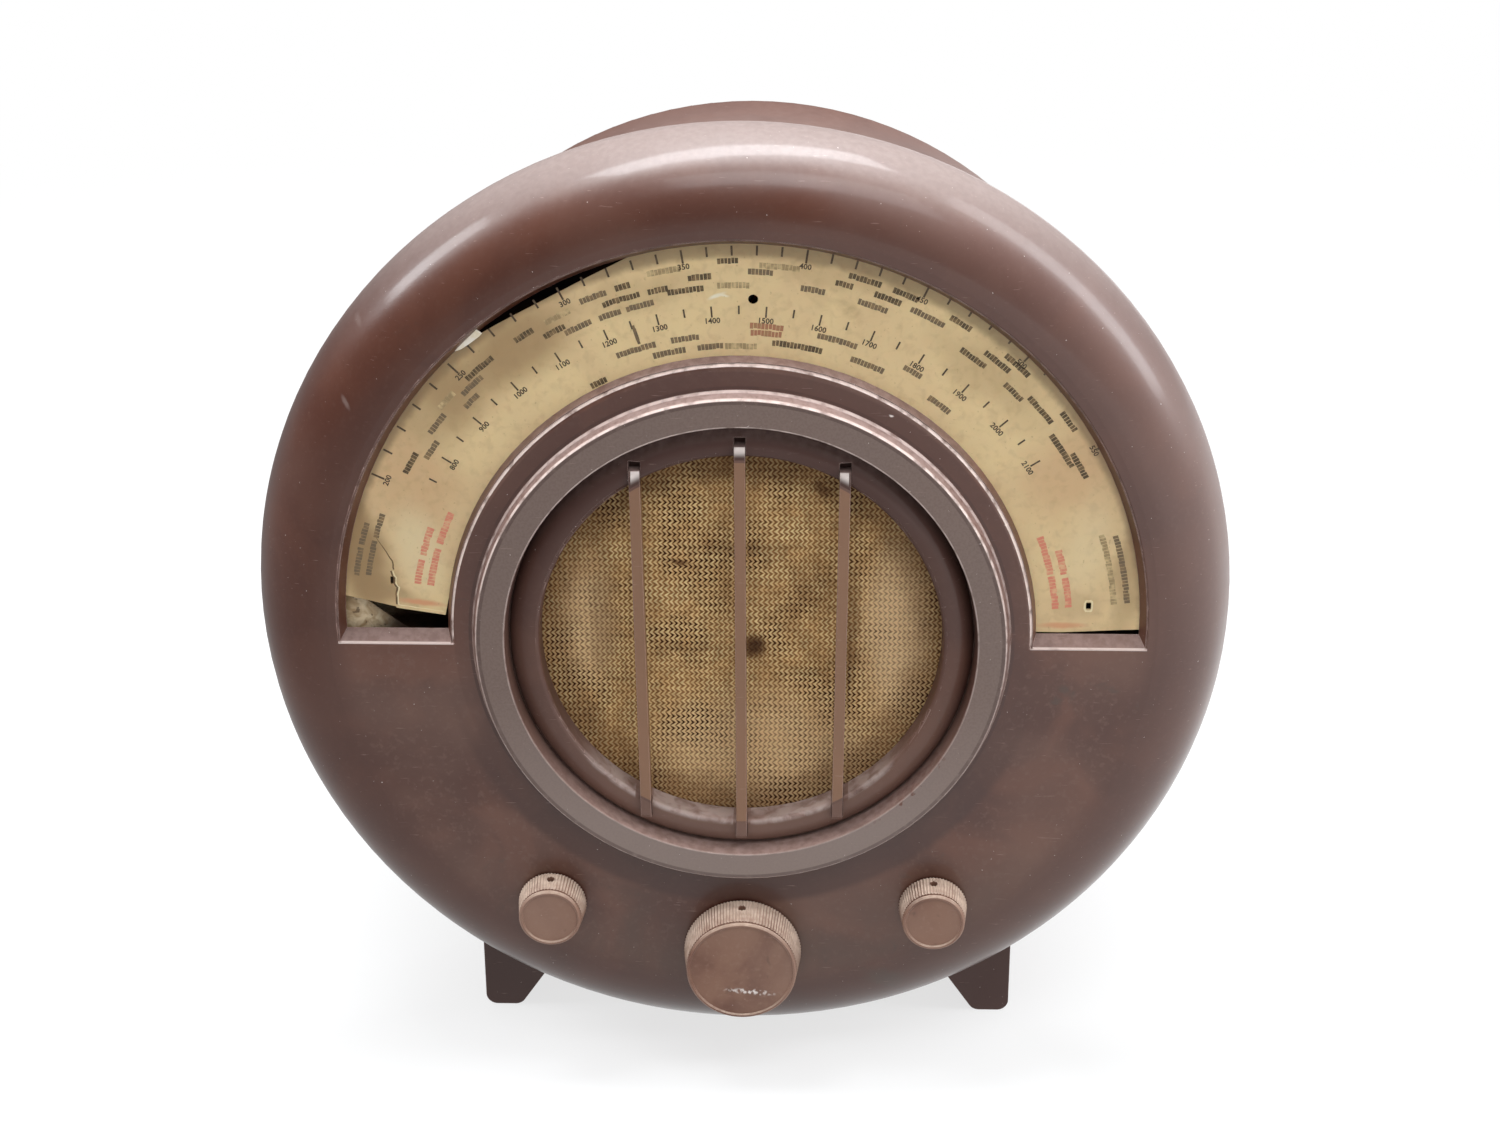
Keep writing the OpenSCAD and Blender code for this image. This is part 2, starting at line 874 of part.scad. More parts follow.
module dial_lamps() {
    color(GLASS) stand()
        for (a = lamp_angles) {
            p = spot(a, lamp_ring_r);
            turned(p[0], p[1])
                intersection() {
                    union() {
                        translate([0, box_back - 11])
                            circle(lamp_r);
                        translate([0, box_back - 11])
                            square([lamp_r - 0.7, 21]);
                    }
                    translate([0, scale_back])
                        square([lamp_r, box_d + 12]);
                }
        }
}

module pointer() {
    color(BLACK) stand()
        rotate([0, -pointer_rest, 0])
            slab(pointer_y, ring_y)
                polygon([
                    [-4, groove_bed_r - 2.5],
                    [4, groove_bed_r - 2.5],
                    [0.8, ring_drum_r + 4],
                    [0.8, pointer_tip_r - 10],
                    [1.4, pointer_tip_r - 10],
                    [1.4, pointer_tip_r],
                    [-1.4, pointer_tip_r],
                    [-1.4, pointer_tip_r - 10],
                    [-0.8, pointer_tip_r - 10],
                    [-0.8, ring_drum_r + 4]
                ]);
}

module pointer_ring() {
    color(BRASS) stand()
        turned()
            difference() {
                translate([baffle_r + ring_fit, ring_y])
                    square([ring_drum_r - baffle_r - ring_fit, ring_drum_w]);
                translate([groove_bed_r, ring_mid - 1.2])
                    square([ring_groove + 1, 2.4]);
            }
}

module ring_keepers() {
    color(STEEL) stand()
        for (a = [0 : 120 : 240])
            rotate([0, a, 0])
                difference() {
                    block(-5, 5, baffle_back, baffle_back + 0.8, baffle_r - 9, ring_drum_r - 1);
                    rod(0, baffle_r - 6, baffle_back - 1, baffle_back + 2, 1.4);
                }
}

module keeper_screws() {
    color(BRASS) stand()
        for (a = [0 : 120 : 240]) {
            p = spot(a, baffle_r - 6);
            back_screw(p[0], p[1], baffle_back - 3.5, baffle_back + 0.8, 1, 2.2, 1.2);
        }
}

// Outline of a belt round two wheels, from their centres and radii
function belt(a, ra, b, rb) =
    let (
        way = atan2(b[1] - a[1], b[0] - a[0]),
        lean = acos((ra - rb) / norm(b - a)),
        n = 48
    )
    concat(
        [for (i = [0 : n]) let (t = way + lean + (360 - 2 * lean) * i / n) a + ra * [cos(t), sin(t)]],
        [for (i = [0 : n]) let (t = way - lean + 2 * lean * i / n) b + rb * [cos(t), sin(t)]]
    );

module cord_loop(a, ra, b, rb, y) {
    slab(y - cord_d / 2, y + cord_d / 2)
        difference() {
            polygon(belt(a, ra + cord_d, b, rb + cord_d));
            polygon(belt(a, ra, b, rb));
        }
}

module pointer_cord() {
    color(BLACK) stand()
        cord_loop([0, 0], groove_bed_r + cord_bed, [0, -tuning_drop], pulley_r + cord_bed, ring_mid);
}

module gang_cord() {
    color(BLACK) stand()
        cord_loop(
            [gang_x, gang_z], gang_drum_r + cord_bed,
            [0, -tuning_drop], spindle_r + cord_bed, drum_y + drum_w / 2
        );
}

// Knob with a ribbed side, a thin rim round its flat face and a hole for its spindle
module knob(x, z, r, l) {
    front = -knob_gap - l;
    tip_r = r - knob_taper * l;
    n = floor(2 * PI * r / knurl_pitch);
    difference() {
        union() {
            intersection() {
                translate([x, -knob_gap, z])
                    rotate([90, 0, 0])
                        linear_extrude(l, scale = tip_r / r)
                            polygon([
                                for (i = [0 : 2 * n - 1])
                                    let (rr = i % 2 == 0 ? r : r - knurl_depth)
                                        rr * [cos(180 * i / n), sin(180 * i / n)]
                            ]);
                rod(x, z, front + 2.6, 0, r + 1);
            }
            turned(x, z) {
                polygon([
                    [0, front + 0.8],
                    [tip_r - 1.6, front + 0.8],
                    [tip_r - 1.2, front],
                    [tip_r - 0.5, front],
                    [tip_r + 0.1, front + 0.7],
                    [tip_r + 0.1, front + 1.6],
                    [tip_r - 0.6, front + 2],
                    [tip_r - 0.6, front + 3],
                    [0, front + 3]
                ]);
            }
        }
        rod(x, z, front + l - knob_hole_d, 0, spindle_r + run_fit);
        translate([x, -knob_gap - l * 0.3, z])
            cylinder(r = grub_r, h = r + 1);
    }
}

// Grub screw that holds a knob on its spindle, sunk in the knob's side
module grub_screw(x, z, r, l) {
    translate([x, -knob_gap - l * 0.3, z])
        difference() {
            translate([0, 0, spindle_r + 0.02])
                cylinder(r = grub_r - 0.05, h = 6);
            translate([-grub_r, -0.3, spindle_r + 5.2])
                cube([2 * grub_r, 0.6, 2]);
        }
}

module spindle(x, z, back) {
    rod(x, z, 0.5 - knob_gap - knob_hole_d, back, spindle_r);
}

module tuning_knob() {
    color(KNOB) stand()
        knob(0, -tuning_drop, big_knob_r, big_knob_l);
}

module tuning_grub_screw() {
    color(STEEL) stand()
        grub_screw(0, -tuning_drop, big_knob_r, big_knob_l);
}

module tuning_spindle() {
    color(STEEL) stand()
        spindle(0, -tuning_drop, chassis_front - 0.2);
}

module cord_pulley() {
    color(BRASS) stand()
        turned(0, -tuning_drop)
            difference() {
                translate([spindle_r, ring_y + 0.5])
                    square([pulley_r + 1.8 - spindle_r, ring_drum_w - 1]);
                translate([pulley_r, ring_mid - 1.2])
                    square([3, 2.4]);
            }
}

module spindle_bush() {
    color(BRASS) stand()
        turned(0, -tuning_drop)
            polygon([
                [spindle_r + run_fit, bracket_y - 6],
                [neck_r, bracket_y - 6],
                [neck_r, bracket_y - 1.6],
                [neck_r + 2, bracket_y - 1.6],
                [neck_r + 2, bracket_y],
                [neck_r, bracket_y],
                [neck_r, chassis_front],
                [spindle_r + run_fit, chassis_front]
            ]);
}

module spindle_bracket() {
    color(STEEL) stand()
        difference() {
            block(-16, 16, bracket_y, chassis_front, -tuning_drop - 13, chassis_top - 8);
            rod(0, -tuning_drop, bracket_y - 1, chassis_front + 1, neck_r);
            for (side = [-1, 1])
                rod(side * 10, chassis_low + 18, bracket_y - 1, chassis_front + 1, 1.6);
        }
}

module gang_drum() {
    color(TIN) stand()
        turned(gang_x, gang_z)
            difference() {
                translate([3, drum_y])
                    square([gang_drum_r - 1, drum_w]);
                translate([gang_drum_r, drum_y + drum_w / 2 - 1.1])
                    square([4, 2.2]);
                translate([9, drum_y + 1.4])
                    square([gang_drum_r - 13, drum_w]);
            }
}

gang_y0 = chassis_front + 5;
gang_len = 50;
section_len = (vane_count - 1) * vane_pitch + vane_t;
section_step = 14.6;

module gang_frame() {
    color(STEEL) stand()
        difference() {
            union() {
                for (y = [gang_y0, gang_y0 + gang_len - 1.6])
                    block(gang_x - 21.5, gang_x + 21.5, y, y + 1.6, chassis_top, gang_z + 20);
                block(gang_x - 21.5, gang_x + 21.5, gang_y0, gang_y0 + gang_len, chassis_top, chassis_top + 1.6);
                for (i = [1 : 2])
                    block(
                        gang_x - 21.5, gang_x + 21.5,
                        gang_y0 + 1.2 + i * section_step, gang_y0 + 2.2 + i * section_step,
                        chassis_top, gang_z + 20
                    );
            }
            rod(gang_x, gang_z, gang_y0 - 1, gang_y0 + 2, 3 + run_fit);
            rod(gang_x, gang_z, gang_y0 + gang_len - 3, gang_y0 + gang_len + 1, 3 + run_fit);
            rod(gang_x, gang_z, gang_y0 + 5, gang_y0 + gang_len - 5, 5);
            for (side = [-1, 1]) {
                p = spot(-90 + side * 24, vane_r + 2);
                rod(gang_x + p[0], gang_z + p[1], gang_y0 + 5, gang_y0 + gang_len - 5, 2.2);
            }
        }
}

module gang_stators() {
    color(TIN) stand()
        translate([gang_x, 0, gang_z]) {
            for (k = [0 : 2], i = [0 : vane_count - 2])
                let (y = gang_y0 + 3.4 + k * section_step + (i + 0.5) * vane_pitch)
                    slab(y, y + vane_t)
                        difference() {
                            circle(vane_r + 3.6);
                            circle(4.4);
                            translate([-1, -2 * vane_r])
                                square(4 * vane_r);
                        }
            for (side = [-1, 1]) {
                p = spot(-90 + side * 24, vane_r + 2);
                rod(p[0], p[1], gang_y0 + 1.6, gang_y0 + gang_len - 1.6, 1.1);
            }
        }
}

module gang_rotor() {
    color(TIN) stand() {
        rod(gang_x, gang_z, drum_y - 1, gang_y0 + gang_len + 2, 3);
        translate([gang_x, 0, gang_z])
            rotate([0, gang_rest, 0])
                for (k = [0 : 2], i = [0 : vane_count - 1])
                    let (y = gang_y0 + 3.4 + k * section_step + i * vane_pitch)
                        slab(y, y + vane_t)
                            difference() {
                                circle(vane_r);
                                translate([-4 * vane_r, -2 * vane_r])
                                    square(4 * vane_r);
                            }
    }
}

module volume_knob() {
    color(KNOB) stand()
        knob(-knob_x, -knob_drop, small_knob_r, small_knob_l);
}

module volume_grub_screw() {
    color(STEEL) stand()
        grub_screw(-knob_x, -knob_drop, small_knob_r, small_knob_l);
}

module volume_spindle() {
    color(STEEL) stand()
        spindle(-knob_x, -knob_drop, chassis_front + chassis_t + 3);
}

// Neck and body of a control behind the chassis front
module control_neck(x, back) {
    turned(x, -knob_drop)
        polygon([
            [spindle_r + run_fit, chassis_front - neck_l],
            [neck_r, chassis_front - neck_l],
            [neck_r, chassis_front + chassis_t],
            [neck_r + 3, chassis_front + chassis_t],
            [neck_r + 3, back],
            [0, back],
            [0, chassis_front + chassis_t + 4],
            [spindle_r + run_fit, chassis_front + chassis_t + 4]
        ]);
}

module volume_control() {
    color(STEEL) stand() {
        control_neck(-knob_x, chassis_front + chassis_t + 6);
        difference() {
            rod(-knob_x, -knob_drop, chassis_front + chassis_t, chassis_front + chassis_t + volume_l, volume_r);
            rod(-knob_x, -knob_drop, chassis_front, chassis_front + chassis_t + 5, neck_r + 1);
        }
        for (i = [-1 : 1])
            block(
                -knob_x + i * 7 - 1.5, -knob_x + i * 7 + 1.5,
                chassis_front + chassis_t + 4, chassis_front + chassis_t + 4.8,
                -knob_drop - volume_r - 3, -knob_drop - volume_r + 4
            );
    }
}

module wave_knob() {
    color(KNOB) stand()
        knob(knob_x, -knob_drop, small_knob_r, small_knob_l);
}

module wave_grub_screw() {
    color(STEEL) stand()
        grub_screw(knob_x, -knob_drop, small_knob_r, small_knob_l);
}

module wave_spindle() {
    color(STEEL) stand()
        spindle(knob_x, -knob_drop, chassis_front + chassis_t + 3);
}

module wave_switch() {
    color(BOARD) stand() {
        control_neck(knob_x, chassis_front + chassis_t + 6);
        rod(knob_x, -knob_drop, chassis_front + chassis_t + 5, chassis_front + chassis_t + switch_l, 2.5);
        for (i = [1 : 3])
            rod(
                knob_x, -knob_drop,
                chassis_front + chassis_t + switch_l * i / 3 - 2, chassis_front + chassis_t + switch_l * i / 3,
                switch_r
            );
        for (side = [-1, 1])
            rod(
                knob_x + side * (switch_r - 3), -knob_drop,
                chassis_front + chassis_t, chassis_front + chassis_t + switch_l + 2, 1.4
            );
    }
}

module control_nuts() {
    color(BRASS) stand()
        for (x = [-knob_x, knob_x])
            difference() {
                translate([x, chassis_front - 2.4, -knob_drop])
                    rotate([-90, 0, 0])
                        cylinder(r = neck_r + 2.6, h = 2.4, $fn = 6);
                rod(x, -knob_drop, chassis_front - 4, chassis_front + 1, neck_r);
            }
}

module speaker_frame() {
    color(BLACK) stand()
        difference() {
            turned()
                polygon([
                    [bowl_r - 3, bowl_y],
                    [speaker_r, bowl_y],
                    [speaker_r, bowl_y + speaker_sheet],
                    [bowl_r + 1, bowl_y + speaker_sheet],
                    [bowl_back_r + 1, bowl_y + bowl_d + speaker_sheet],
                    [pole_r + coil_gap + 3, bowl_y + bowl_d + speaker_sheet],
                    [pole_r + coil_gap + 3, bowl_y + bowl_d],
                    [bowl_back_r - 1, bowl_y + bowl_d],
                    [bowl_r - 1.5, bowl_y + speaker_sheet]
                ]);
            for (a = [0 : 60 : 300]) {
                p = spot(a, (bowl_r + speaker_r) / 2);
                rod(p[0], p[1], bowl_y - 1, bowl_y + 3, 1.5 + seat_fit);
            }
            for (a = [30 : 60 : 330])
                rotate([0, a, 0])
                    block(-14, 14, bowl_y + 10, bowl_y + bowl_d - 6, 20, bowl_r);
        }
}

module speaker_screws() {
    color(STEEL) stand()
        for (a = [0 : 60 : 300]) {
            p = spot(a, (bowl_r + speaker_r) / 2);
            back_screw(p[0], p[1], baffle_back - 5, bowl_y + speaker_sheet, 1.45, 3, 1.8);
        }
}

module speaker_magnet() {
    color(STEEL) stand()
        turned()
            difference() {
                translate([0, pot_y])
                    square([pot_r, pot_l]);
                translate([pole_r, pot_y - 1])
                    square([coil_gap, 18]);
            }
}

module speaker_cone() {
    color("#5a4a3c") stand()
        turned()
            polygon([
                [bowl_r - 8, bowl_y + 3.4],
                [bowl_r - 5.6, bowl_y + 3.4],
                [bowl_r - 5.6, bowl_y + 4.2],
                [bowl_r - 8.4, bowl_y + 4.2],
                [pole_r + 1.5, pot_y - 8],
                [pole_r + 1.5, pot_y + 9],
                [pole_r + 0.8, pot_y + 9],
                [pole_r + 0.8, pot_y - 9]
            ]);
}

module output_transformer() {
    color(STEEL) stand()
        difference() {
            union() {
                block(-20, 20, pot_y + 8, pot_y + 36, pot_r - 4, pot_r + 26);
                block(-13, 13, pot_y + 2, pot_y + 42, pot_r + 4, pot_r + 22);
            }
            rod(0, 0, pot_y - 1, pot_y + pot_l + 1, pot_r);
        }
}

module chassis() {
    color(STEEL) stand()
        difference() {
            union() {
                difference() {
                    block(-chassis_x, chassis_x, chassis_front, chassis_back, chassis_low, chassis_top);
                    block(
                        -chassis_x + chassis_t, chassis_x - chassis_t,
                        chassis_front + chassis_t, chassis_back - chassis_t,
                        chassis_low - 1, chassis_top - chassis_t
                    );
                }
                for (y = [chassis_front, chassis_back - 18])
                    block(-chassis_x + 32, chassis_x - 32, y, y + 18, chassis_low, chassis_low + chassis_t);
            }
            both_sides()
                for (y = bolt_y)
                    post(bolt_x, y, chassis_low - 1, chassis_low + 3, bolt_r + seat_fit);
            for (x = [-knob_x, knob_x])
                rod(x, -knob_drop, chassis_front - 1, chassis_front + 3, neck_r + 0.05);
            rod(inlet_spot[0], inlet_spot[1], chassis_back - 3, chassis_back + 1, inlet_r + 1);
            block(
                -neck_r - 3, neck_r + 3, chassis_front - 1, chassis_front + 3,
                chassis_low - 1, -tuning_drop + neck_r + 3
            );
        }
}

module chassis_bolts() {
    color(STEEL) stand()
        both_sides()
            for (y = bolt_y) {
                post(bolt_x, y, bolt_seat - 1, chassis_low + chassis_t + 5, bolt_r);
                difference() {
                    post(bolt_x, y, bolt_seat - 3, bolt_seat, 4.4);
                    block(bolt_x - 5, bolt_x + 5, y - 0.6, y + 0.6, bolt_seat - 4, bolt_seat - 2);
                }
                translate([bolt_x, y, chassis_low + chassis_t])
                    cylinder(r = 4, h = 3, $fn = 6);
            }
}

mains_x = -62;
mains_y = chassis_front + 33;
core_half = [28, 21, 24];

module transformer_window(grow) {
    block(-20 - grow, 20 + grow, -31 - grow, 31 + grow, 8 - grow, 2 * core_half[2] - 8 + grow);
}

module transformer_leg(grow) {
    block(-8 - grow, 8 + grow, -40, 40, -1, 2 * core_half[2] + 1);
}

module transformer_core() {
    color(BLACK) stand()
        translate([mains_x, mains_y, chassis_top]) {
            difference() {
                block(-core_half[0], core_half[0], -core_half[1], core_half[1], 0, 2 * core_half[2]);
                difference() {
                    transformer_window(0);
                    transformer_leg(0);
                }
            }
        }
}

module transformer_winding() {
    color(BOARD) stand()
        translate([mains_x, mains_y, chassis_top])
            difference() {
                transformer_window(-seat_fit);
                block(
                    -8 - seat_fit, 8 + seat_fit, -core_half[1] - seat_fit, core_half[1] + seat_fit,
                    -1, 2 * core_half[2] + 1
                );
            }
}

module smoothing_capacitors() {
    color(TIN) stand()
        for (x = [-11, 11])
            translate([x, valve_y - bulb_r - 12, chassis_top])
                rotate_extrude()
                    polygon([[0, 0], [10, 0], [10, 60], [9, 62], [6, 62], [6, 60.5], [0, 60.5]]);
}

module coil_cans() {
    color(TIN) stand()
        for (y = [chassis_front + 16, chassis_front + 42])
            difference() {
                union() {
                    post(chassis_x - 11, y, chassis_top, chassis_top + 52, 9.6);
                    post(chassis_x - 11, y, chassis_top, chassis_top + 1, 10.4);
                }
                post(chassis_x - 11, y, chassis_top + 50, chassis_top + 60, 2);
            }
}

module each_valve() {
    for (i = [0 : valve_n - 1])
        translate([(i - (valve_n - 1) / 2) * valve_pitch, valve_y, chassis_top])
            children();
}

module valve_holders() {
    color(BLACK) stand()
        each_valve()
            difference() {
                cylinder(r = 16, h = 5);
                translate([0, 0, 1.5])
                    cylinder(r = 8, h = 6);
            }
}

module valve_bases() {
    color(BLACK) stand()
        each_valve()
            translate([0, 0, 5])
                difference() {
                    cylinder(r = 14, h = 24);
                    translate([0, 0, 16])
                        cylinder(r = 12.6, h = 10);
                }
}

module valve_bulbs() {
    color(GLASS) stand()
        each_valve()
            translate([0, 0, 21])
                rotate_extrude() {
                    square([12.4, 30]);
                    intersection() {
                        union() {
                            translate([bulb_r - 11, 33])
                                circle(11);
                            translate([0, 22])
                                square([bulb_r - 11, 22]);
                            translate([0, valve_h - 34])
                                circle(13);
                            translate([0, 30])
                                square([13, valve_h - 64]);
                        }
                        square([bulb_r, valve_h - 21]);
                    }
                }
}

module valve_screens() {
    color(TIN) stand()
        for (i = [0, 4])
            translate([(i - 2) * valve_pitch, valve_y, chassis_top])
                difference() {
                    cylinder(r = bulb_r + 1.1, h = valve_h + 2);
                    translate([0, 0, -1])
                        cylinder(r = bulb_r + 0.3, h = valve_h + 2);
                    for (a = [0 : 60 : 300], z = [30, 50, 70])
                        translate([0, 0, z])
                            rotate([0, 90, a])
                                cylinder(r = 2.5, h = bulb_r + 5);
                }
}

socket_z = chassis_low + 20;
socket_x = [-36, -12, 12, 36];

module socket_strip() {
    color(BOARD) stand()
        difference() {
            block(-48, 48, chassis_back, chassis_back + 2, socket_z - 11, socket_z + 11);
            for (x = socket_x)
                rod(x, socket_z, chassis_back - 1, chassis_back + 3, 3);
        }
}

module sockets() {
    color(BRASS) stand()
        for (x = socket_x)
            turned(x, socket_z)
                polygon([
                    [2.05, chassis_back],
                    [3, chassis_back],
                    [3, chassis_back + 2],
                    [4.2, chassis_back + 2],
                    [4.2, chassis_back + 4],
                    [3, chassis_back + 5.4],
                    [2.05, chassis_back + 5.4]
                ]);
}

inlet_spot = [-62, chassis_low + 16];
inlet_seat_r = inlet_r + 2;

module rear_cover() {
    color(BOARD) stand()
        difference() {
            union() {
                rod(0, rim_up, cover_y, cover_y + cover_t, cover_r);
                both_sides()
                    slab(cover_y, cover_y + cover_t)
                        shoulder(wall + 0.7);
            }
            for (a = cover_angles) {
                p = spot(a, cover_screw_r, rim_up);
                rod(p[0], p[1], cover_y - 1, cover_y + cover_t + 1, screw_r + seat_fit);
            }
            for (row = [0 : 3], a = [-60 + 3 * row : 12 : 60]) {
                p = spot(a, 130 - 22 * row, rim_up);
                rod(p[0], p[1], cover_y - 1, cover_y + cover_t + 1, vent_r);
            }
            for (row = [0 : 1], i = [-4 : 4])
                rod(i * 20, -58 - 20 * row, cover_y - 1, cover_y + cover_t + 1, vent_r);
            slab(cover_y - 1, cover_y + cover_t + 1) {
                translate([0, socket_z])
                    square([84, 16], center = true);
                for (side = [-42, 42])
                    translate([side, socket_z])
                        circle(8);
            }
            rod(inlet_spot[0], inlet_spot[1], cover_y - 1, cover_y + cover_t + 1, inlet_seat_r);
        }
}

module cover_screws() {
    color(STEEL) stand()
        for (a = cover_angles) {
            p = spot(a, cover_screw_r, rim_up);
            back_screw(p[0], p[1], cover_y - 12, cover_y + cover_t, screw_r - 0.1, 3.2, cover_sunk - 0.3);
        }
}

module cord_grommet() {
    color(BLACK) stand()
        turned(inlet_spot[0], inlet_spot[1])
            polygon([
                [inlet_r, cover_y - 2],
                [inlet_seat_r + 2, cover_y - 2],
                [inlet_seat_r + 2, cover_y],
                [inlet_seat_r, cover_y],
                [inlet_seat_r, cover_y + cover_t],
                [inlet_seat_r + 2, cover_y + cover_t],
                [inlet_seat_r + 1.4, cover_y + cover_t + 1.6],
                [inlet_r, cover_y + cover_t + 1.6]
            ]);
}

cabinet();
grille_bars();
grille_cloth();
baffle_board();
baffle_screws();
dial_scale();
light_box();
light_box_screws();
lamp_holders();
dial_lamps();
pointer();
pointer_ring();
ring_keepers();
keeper_screws();
pointer_cord();
tuning_knob();
tuning_grub_screw();
tuning_spindle();
cord_pulley();
spindle_bush();
spindle_bracket();
gang_cord();
gang_drum();
gang_frame();
gang_stators();
gang_rotor();
volume_knob();
volume_grub_screw();
volume_spindle();
volume_control();
wave_knob();
wave_grub_screw();
wave_spindle();
wave_switch();
control_nuts();
speaker_frame();
speaker_screws();
speaker_magnet();
speaker_cone();
output_transformer();
chassis();
chassis_bolts();
transformer_core();
transformer_winding();
smoothing_capacitors();
coil_cans();
valve_holders();
valve_bases();
valve_bulbs();
valve_screens();
socket_strip();
sockets();
rear_cover();
cover_screws();
cord_grommet();
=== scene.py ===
"""A table radio in a round moulded phenolic case, with its arched dial, barred speaker opening and works."""
import math
import random

import bmesh
import bpy
from bpy.props import FloatProperty, FloatVectorProperty, IntProperty, PointerProperty
from bpy.types import Operator, Panel, PropertyGroup
from mathutils import Matrix, Vector, noise


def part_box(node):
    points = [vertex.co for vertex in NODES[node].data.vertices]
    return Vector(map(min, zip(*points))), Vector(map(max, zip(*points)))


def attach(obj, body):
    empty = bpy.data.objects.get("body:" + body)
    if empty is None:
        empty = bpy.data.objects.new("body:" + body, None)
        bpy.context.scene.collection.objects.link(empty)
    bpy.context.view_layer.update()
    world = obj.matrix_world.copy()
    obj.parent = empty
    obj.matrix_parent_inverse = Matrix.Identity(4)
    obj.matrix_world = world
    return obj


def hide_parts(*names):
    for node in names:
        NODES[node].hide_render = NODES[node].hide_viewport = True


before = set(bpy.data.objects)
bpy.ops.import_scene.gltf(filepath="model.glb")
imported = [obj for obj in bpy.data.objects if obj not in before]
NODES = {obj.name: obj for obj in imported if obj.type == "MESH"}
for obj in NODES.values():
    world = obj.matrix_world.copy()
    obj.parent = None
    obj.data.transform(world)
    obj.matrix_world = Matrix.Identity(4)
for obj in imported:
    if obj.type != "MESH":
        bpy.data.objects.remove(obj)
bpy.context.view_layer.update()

bl_info = {
    "name": "Round Bakelite Radio",
    "version": (1, 0, 0),
    "blender": (4, 5, 0),
    "location": "3D View > Sidebar > Radio",
    "description": "Dresses the parts of a round table radio and sets up its studio",
    "category": "Object",
}

MM = 0.001
ROOT = "set"
CASE_LOW, CASE_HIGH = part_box("cabinet")
CLOTH_LOW, CLOTH_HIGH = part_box("grille_cloth")
# The middle of the speaker's opening
AXIS = (CLOTH_LOW + CLOTH_HIGH) / 2
SCALE_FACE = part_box("dial_scale")[0].y
RIM = (CASE_HIGH.x - CASE_LOW.x) / 2
# The flat front panel lies this far behind the face of the speaker's ring
RING_HEIGHT = 6.2 * MM
FRONT = CASE_LOW.y + RING_HEIGHT
# Millimetres, farther out than any point of the set
FAR = 900
# Such a scale flattens a mapping, so that depth no longer counts
ANY_DEPTH = 1e5
# Half the width of the floor in metres
FLOOR = 6.0


def linear(code):
    """Linear RGBA of an sRGB hex colour."""
    values = [int(code[i : i + 2], 16) / 255 for i in (0, 2, 4)]
    return [v / 12.92 if v <= 0.04045 else ((v + 0.055) / 1.055) ** 2.4 for v in values] + [1.0]


def shade(text, code):
    """A colour that a user can change."""
    return FloatVectorProperty(description=text, subtype="COLOR", size=4, min=0, max=1, default=linear(code))


def size(text, mm):
    """A length that a user can change, given here in millimetres."""
    return FloatProperty(description=text, default=mm * MM, min=0, unit="LENGTH", precision=4)


def angle(text, degrees):
    return FloatProperty(description=text, default=math.radians(degrees), unit="ROTATION")


# What a user can change


class CaseColours(PropertyGroup):
    resin: shade("Main colour of the moulded case", "4e281b")
    flow: shade("Redder, paler resin in the moulding's flow marks", "663c2b")
    # Bloom is real, and also the painted light on the lower half of the speaker's roll
    bloom: shade("Dull bloom where the polish has gone, and painted light low in the roll", "77594c")
    ring: shade("Grey bloom on the face of the speaker's ring", "78645b")
    # Painted shade: this dark resin darkens the roll's upper part, the underside of the ring, the lower rim
    # and the feet
    shadow: shade("Painted shade on the roll, under the ring, on the lower rim and on the feet, and dark grime", "3e1d13")
    smear: shade("Dark smears on the front", "4a3a30")
    bar: shade("Rubbed brown of the grille bars", "92694a")
    knob: shade("Worn brown of the knobs", "8a634f")
    knob_worn: shade("Paler, rubbed resin on the knobs", "9c7c6b")
    knob_dust: shade("Beige dust between the ribs", "d4bdab")
    # Pale dust on the rim's crest that is also part painted highlight
    crest: shade("Pale dust along the top, which also paints part of its highlight", "ddd0ca")
    # Painted light: the ring's face paler towards its foot
    ring_low: shade("Painted light, paler towards the foot of the ring's face", "9e8d85")
    # Painted highlight on the ring's edges, the window's lip and the sill's edge
    line: shade("Painted highlight on the ring's edges, the window's lip and the sill", "f6e2da")
    edge: shade("Rubbed edges of the moulding", "cdaea4")
    dust: shade("Pink grey house dust on ledges", "c8aca4")
    # White dust, also used for the painted highlight on the bars' top ends
    flake: shade("Crumbs of white dust, and the painted highlight on the bars' ends", "f0e4de")


class DialColours(PropertyGroup):
    sheet: shade("Aged celluloid", "e2c494")
    yellowed: shade("Yellower patches of the celluloid", "ecd09c")
    pinked: shade("Dull, pinkish patches of the celluloid", "d8b486")
    soiled: shade("Grey brown stains on the celluloid", "a5865c")
    peach: shade("Faded red line along the sheet's ends", "dc9c72")
    torn: shade("Fresh, pale edge of the torn sheet, and painted light low on the sheet", "f0dfb4")
    # Painted highlight: the white glare beside the hole
    glare: shade("Painted highlight, a white glare beside the hole", "f4ead2")
    # Dirt in the crack; the same colour paints the shadow beside the torn edge and darkens the sheet's outer
    # edge
    crack: shade("Dirt in the crack, and painted shadow beside the torn edge; also darkens the sheet's outer edge", "6b5234")
    scrap: shade("Bleached scrap of celluloid", "fff6e6")
    ink: shade("Print of the divisions and numbers", "4a3827")
    word_ink: shade("Ink of the bold dashes", "57462f")
    thin_ink: shade("Dashes that have worn thin", "75624a")
    faded_ink: shade("Dashes that are nearly gone", "a48c64")
    red_ink: shade("Red dashes at both ends of the dial", "e08a70")
    brown_ink: shade("Brown dashes at the top", "ad7556")
    pointer: shade("Painted shade of the pointer, seen through the sheet", "6c5a45")


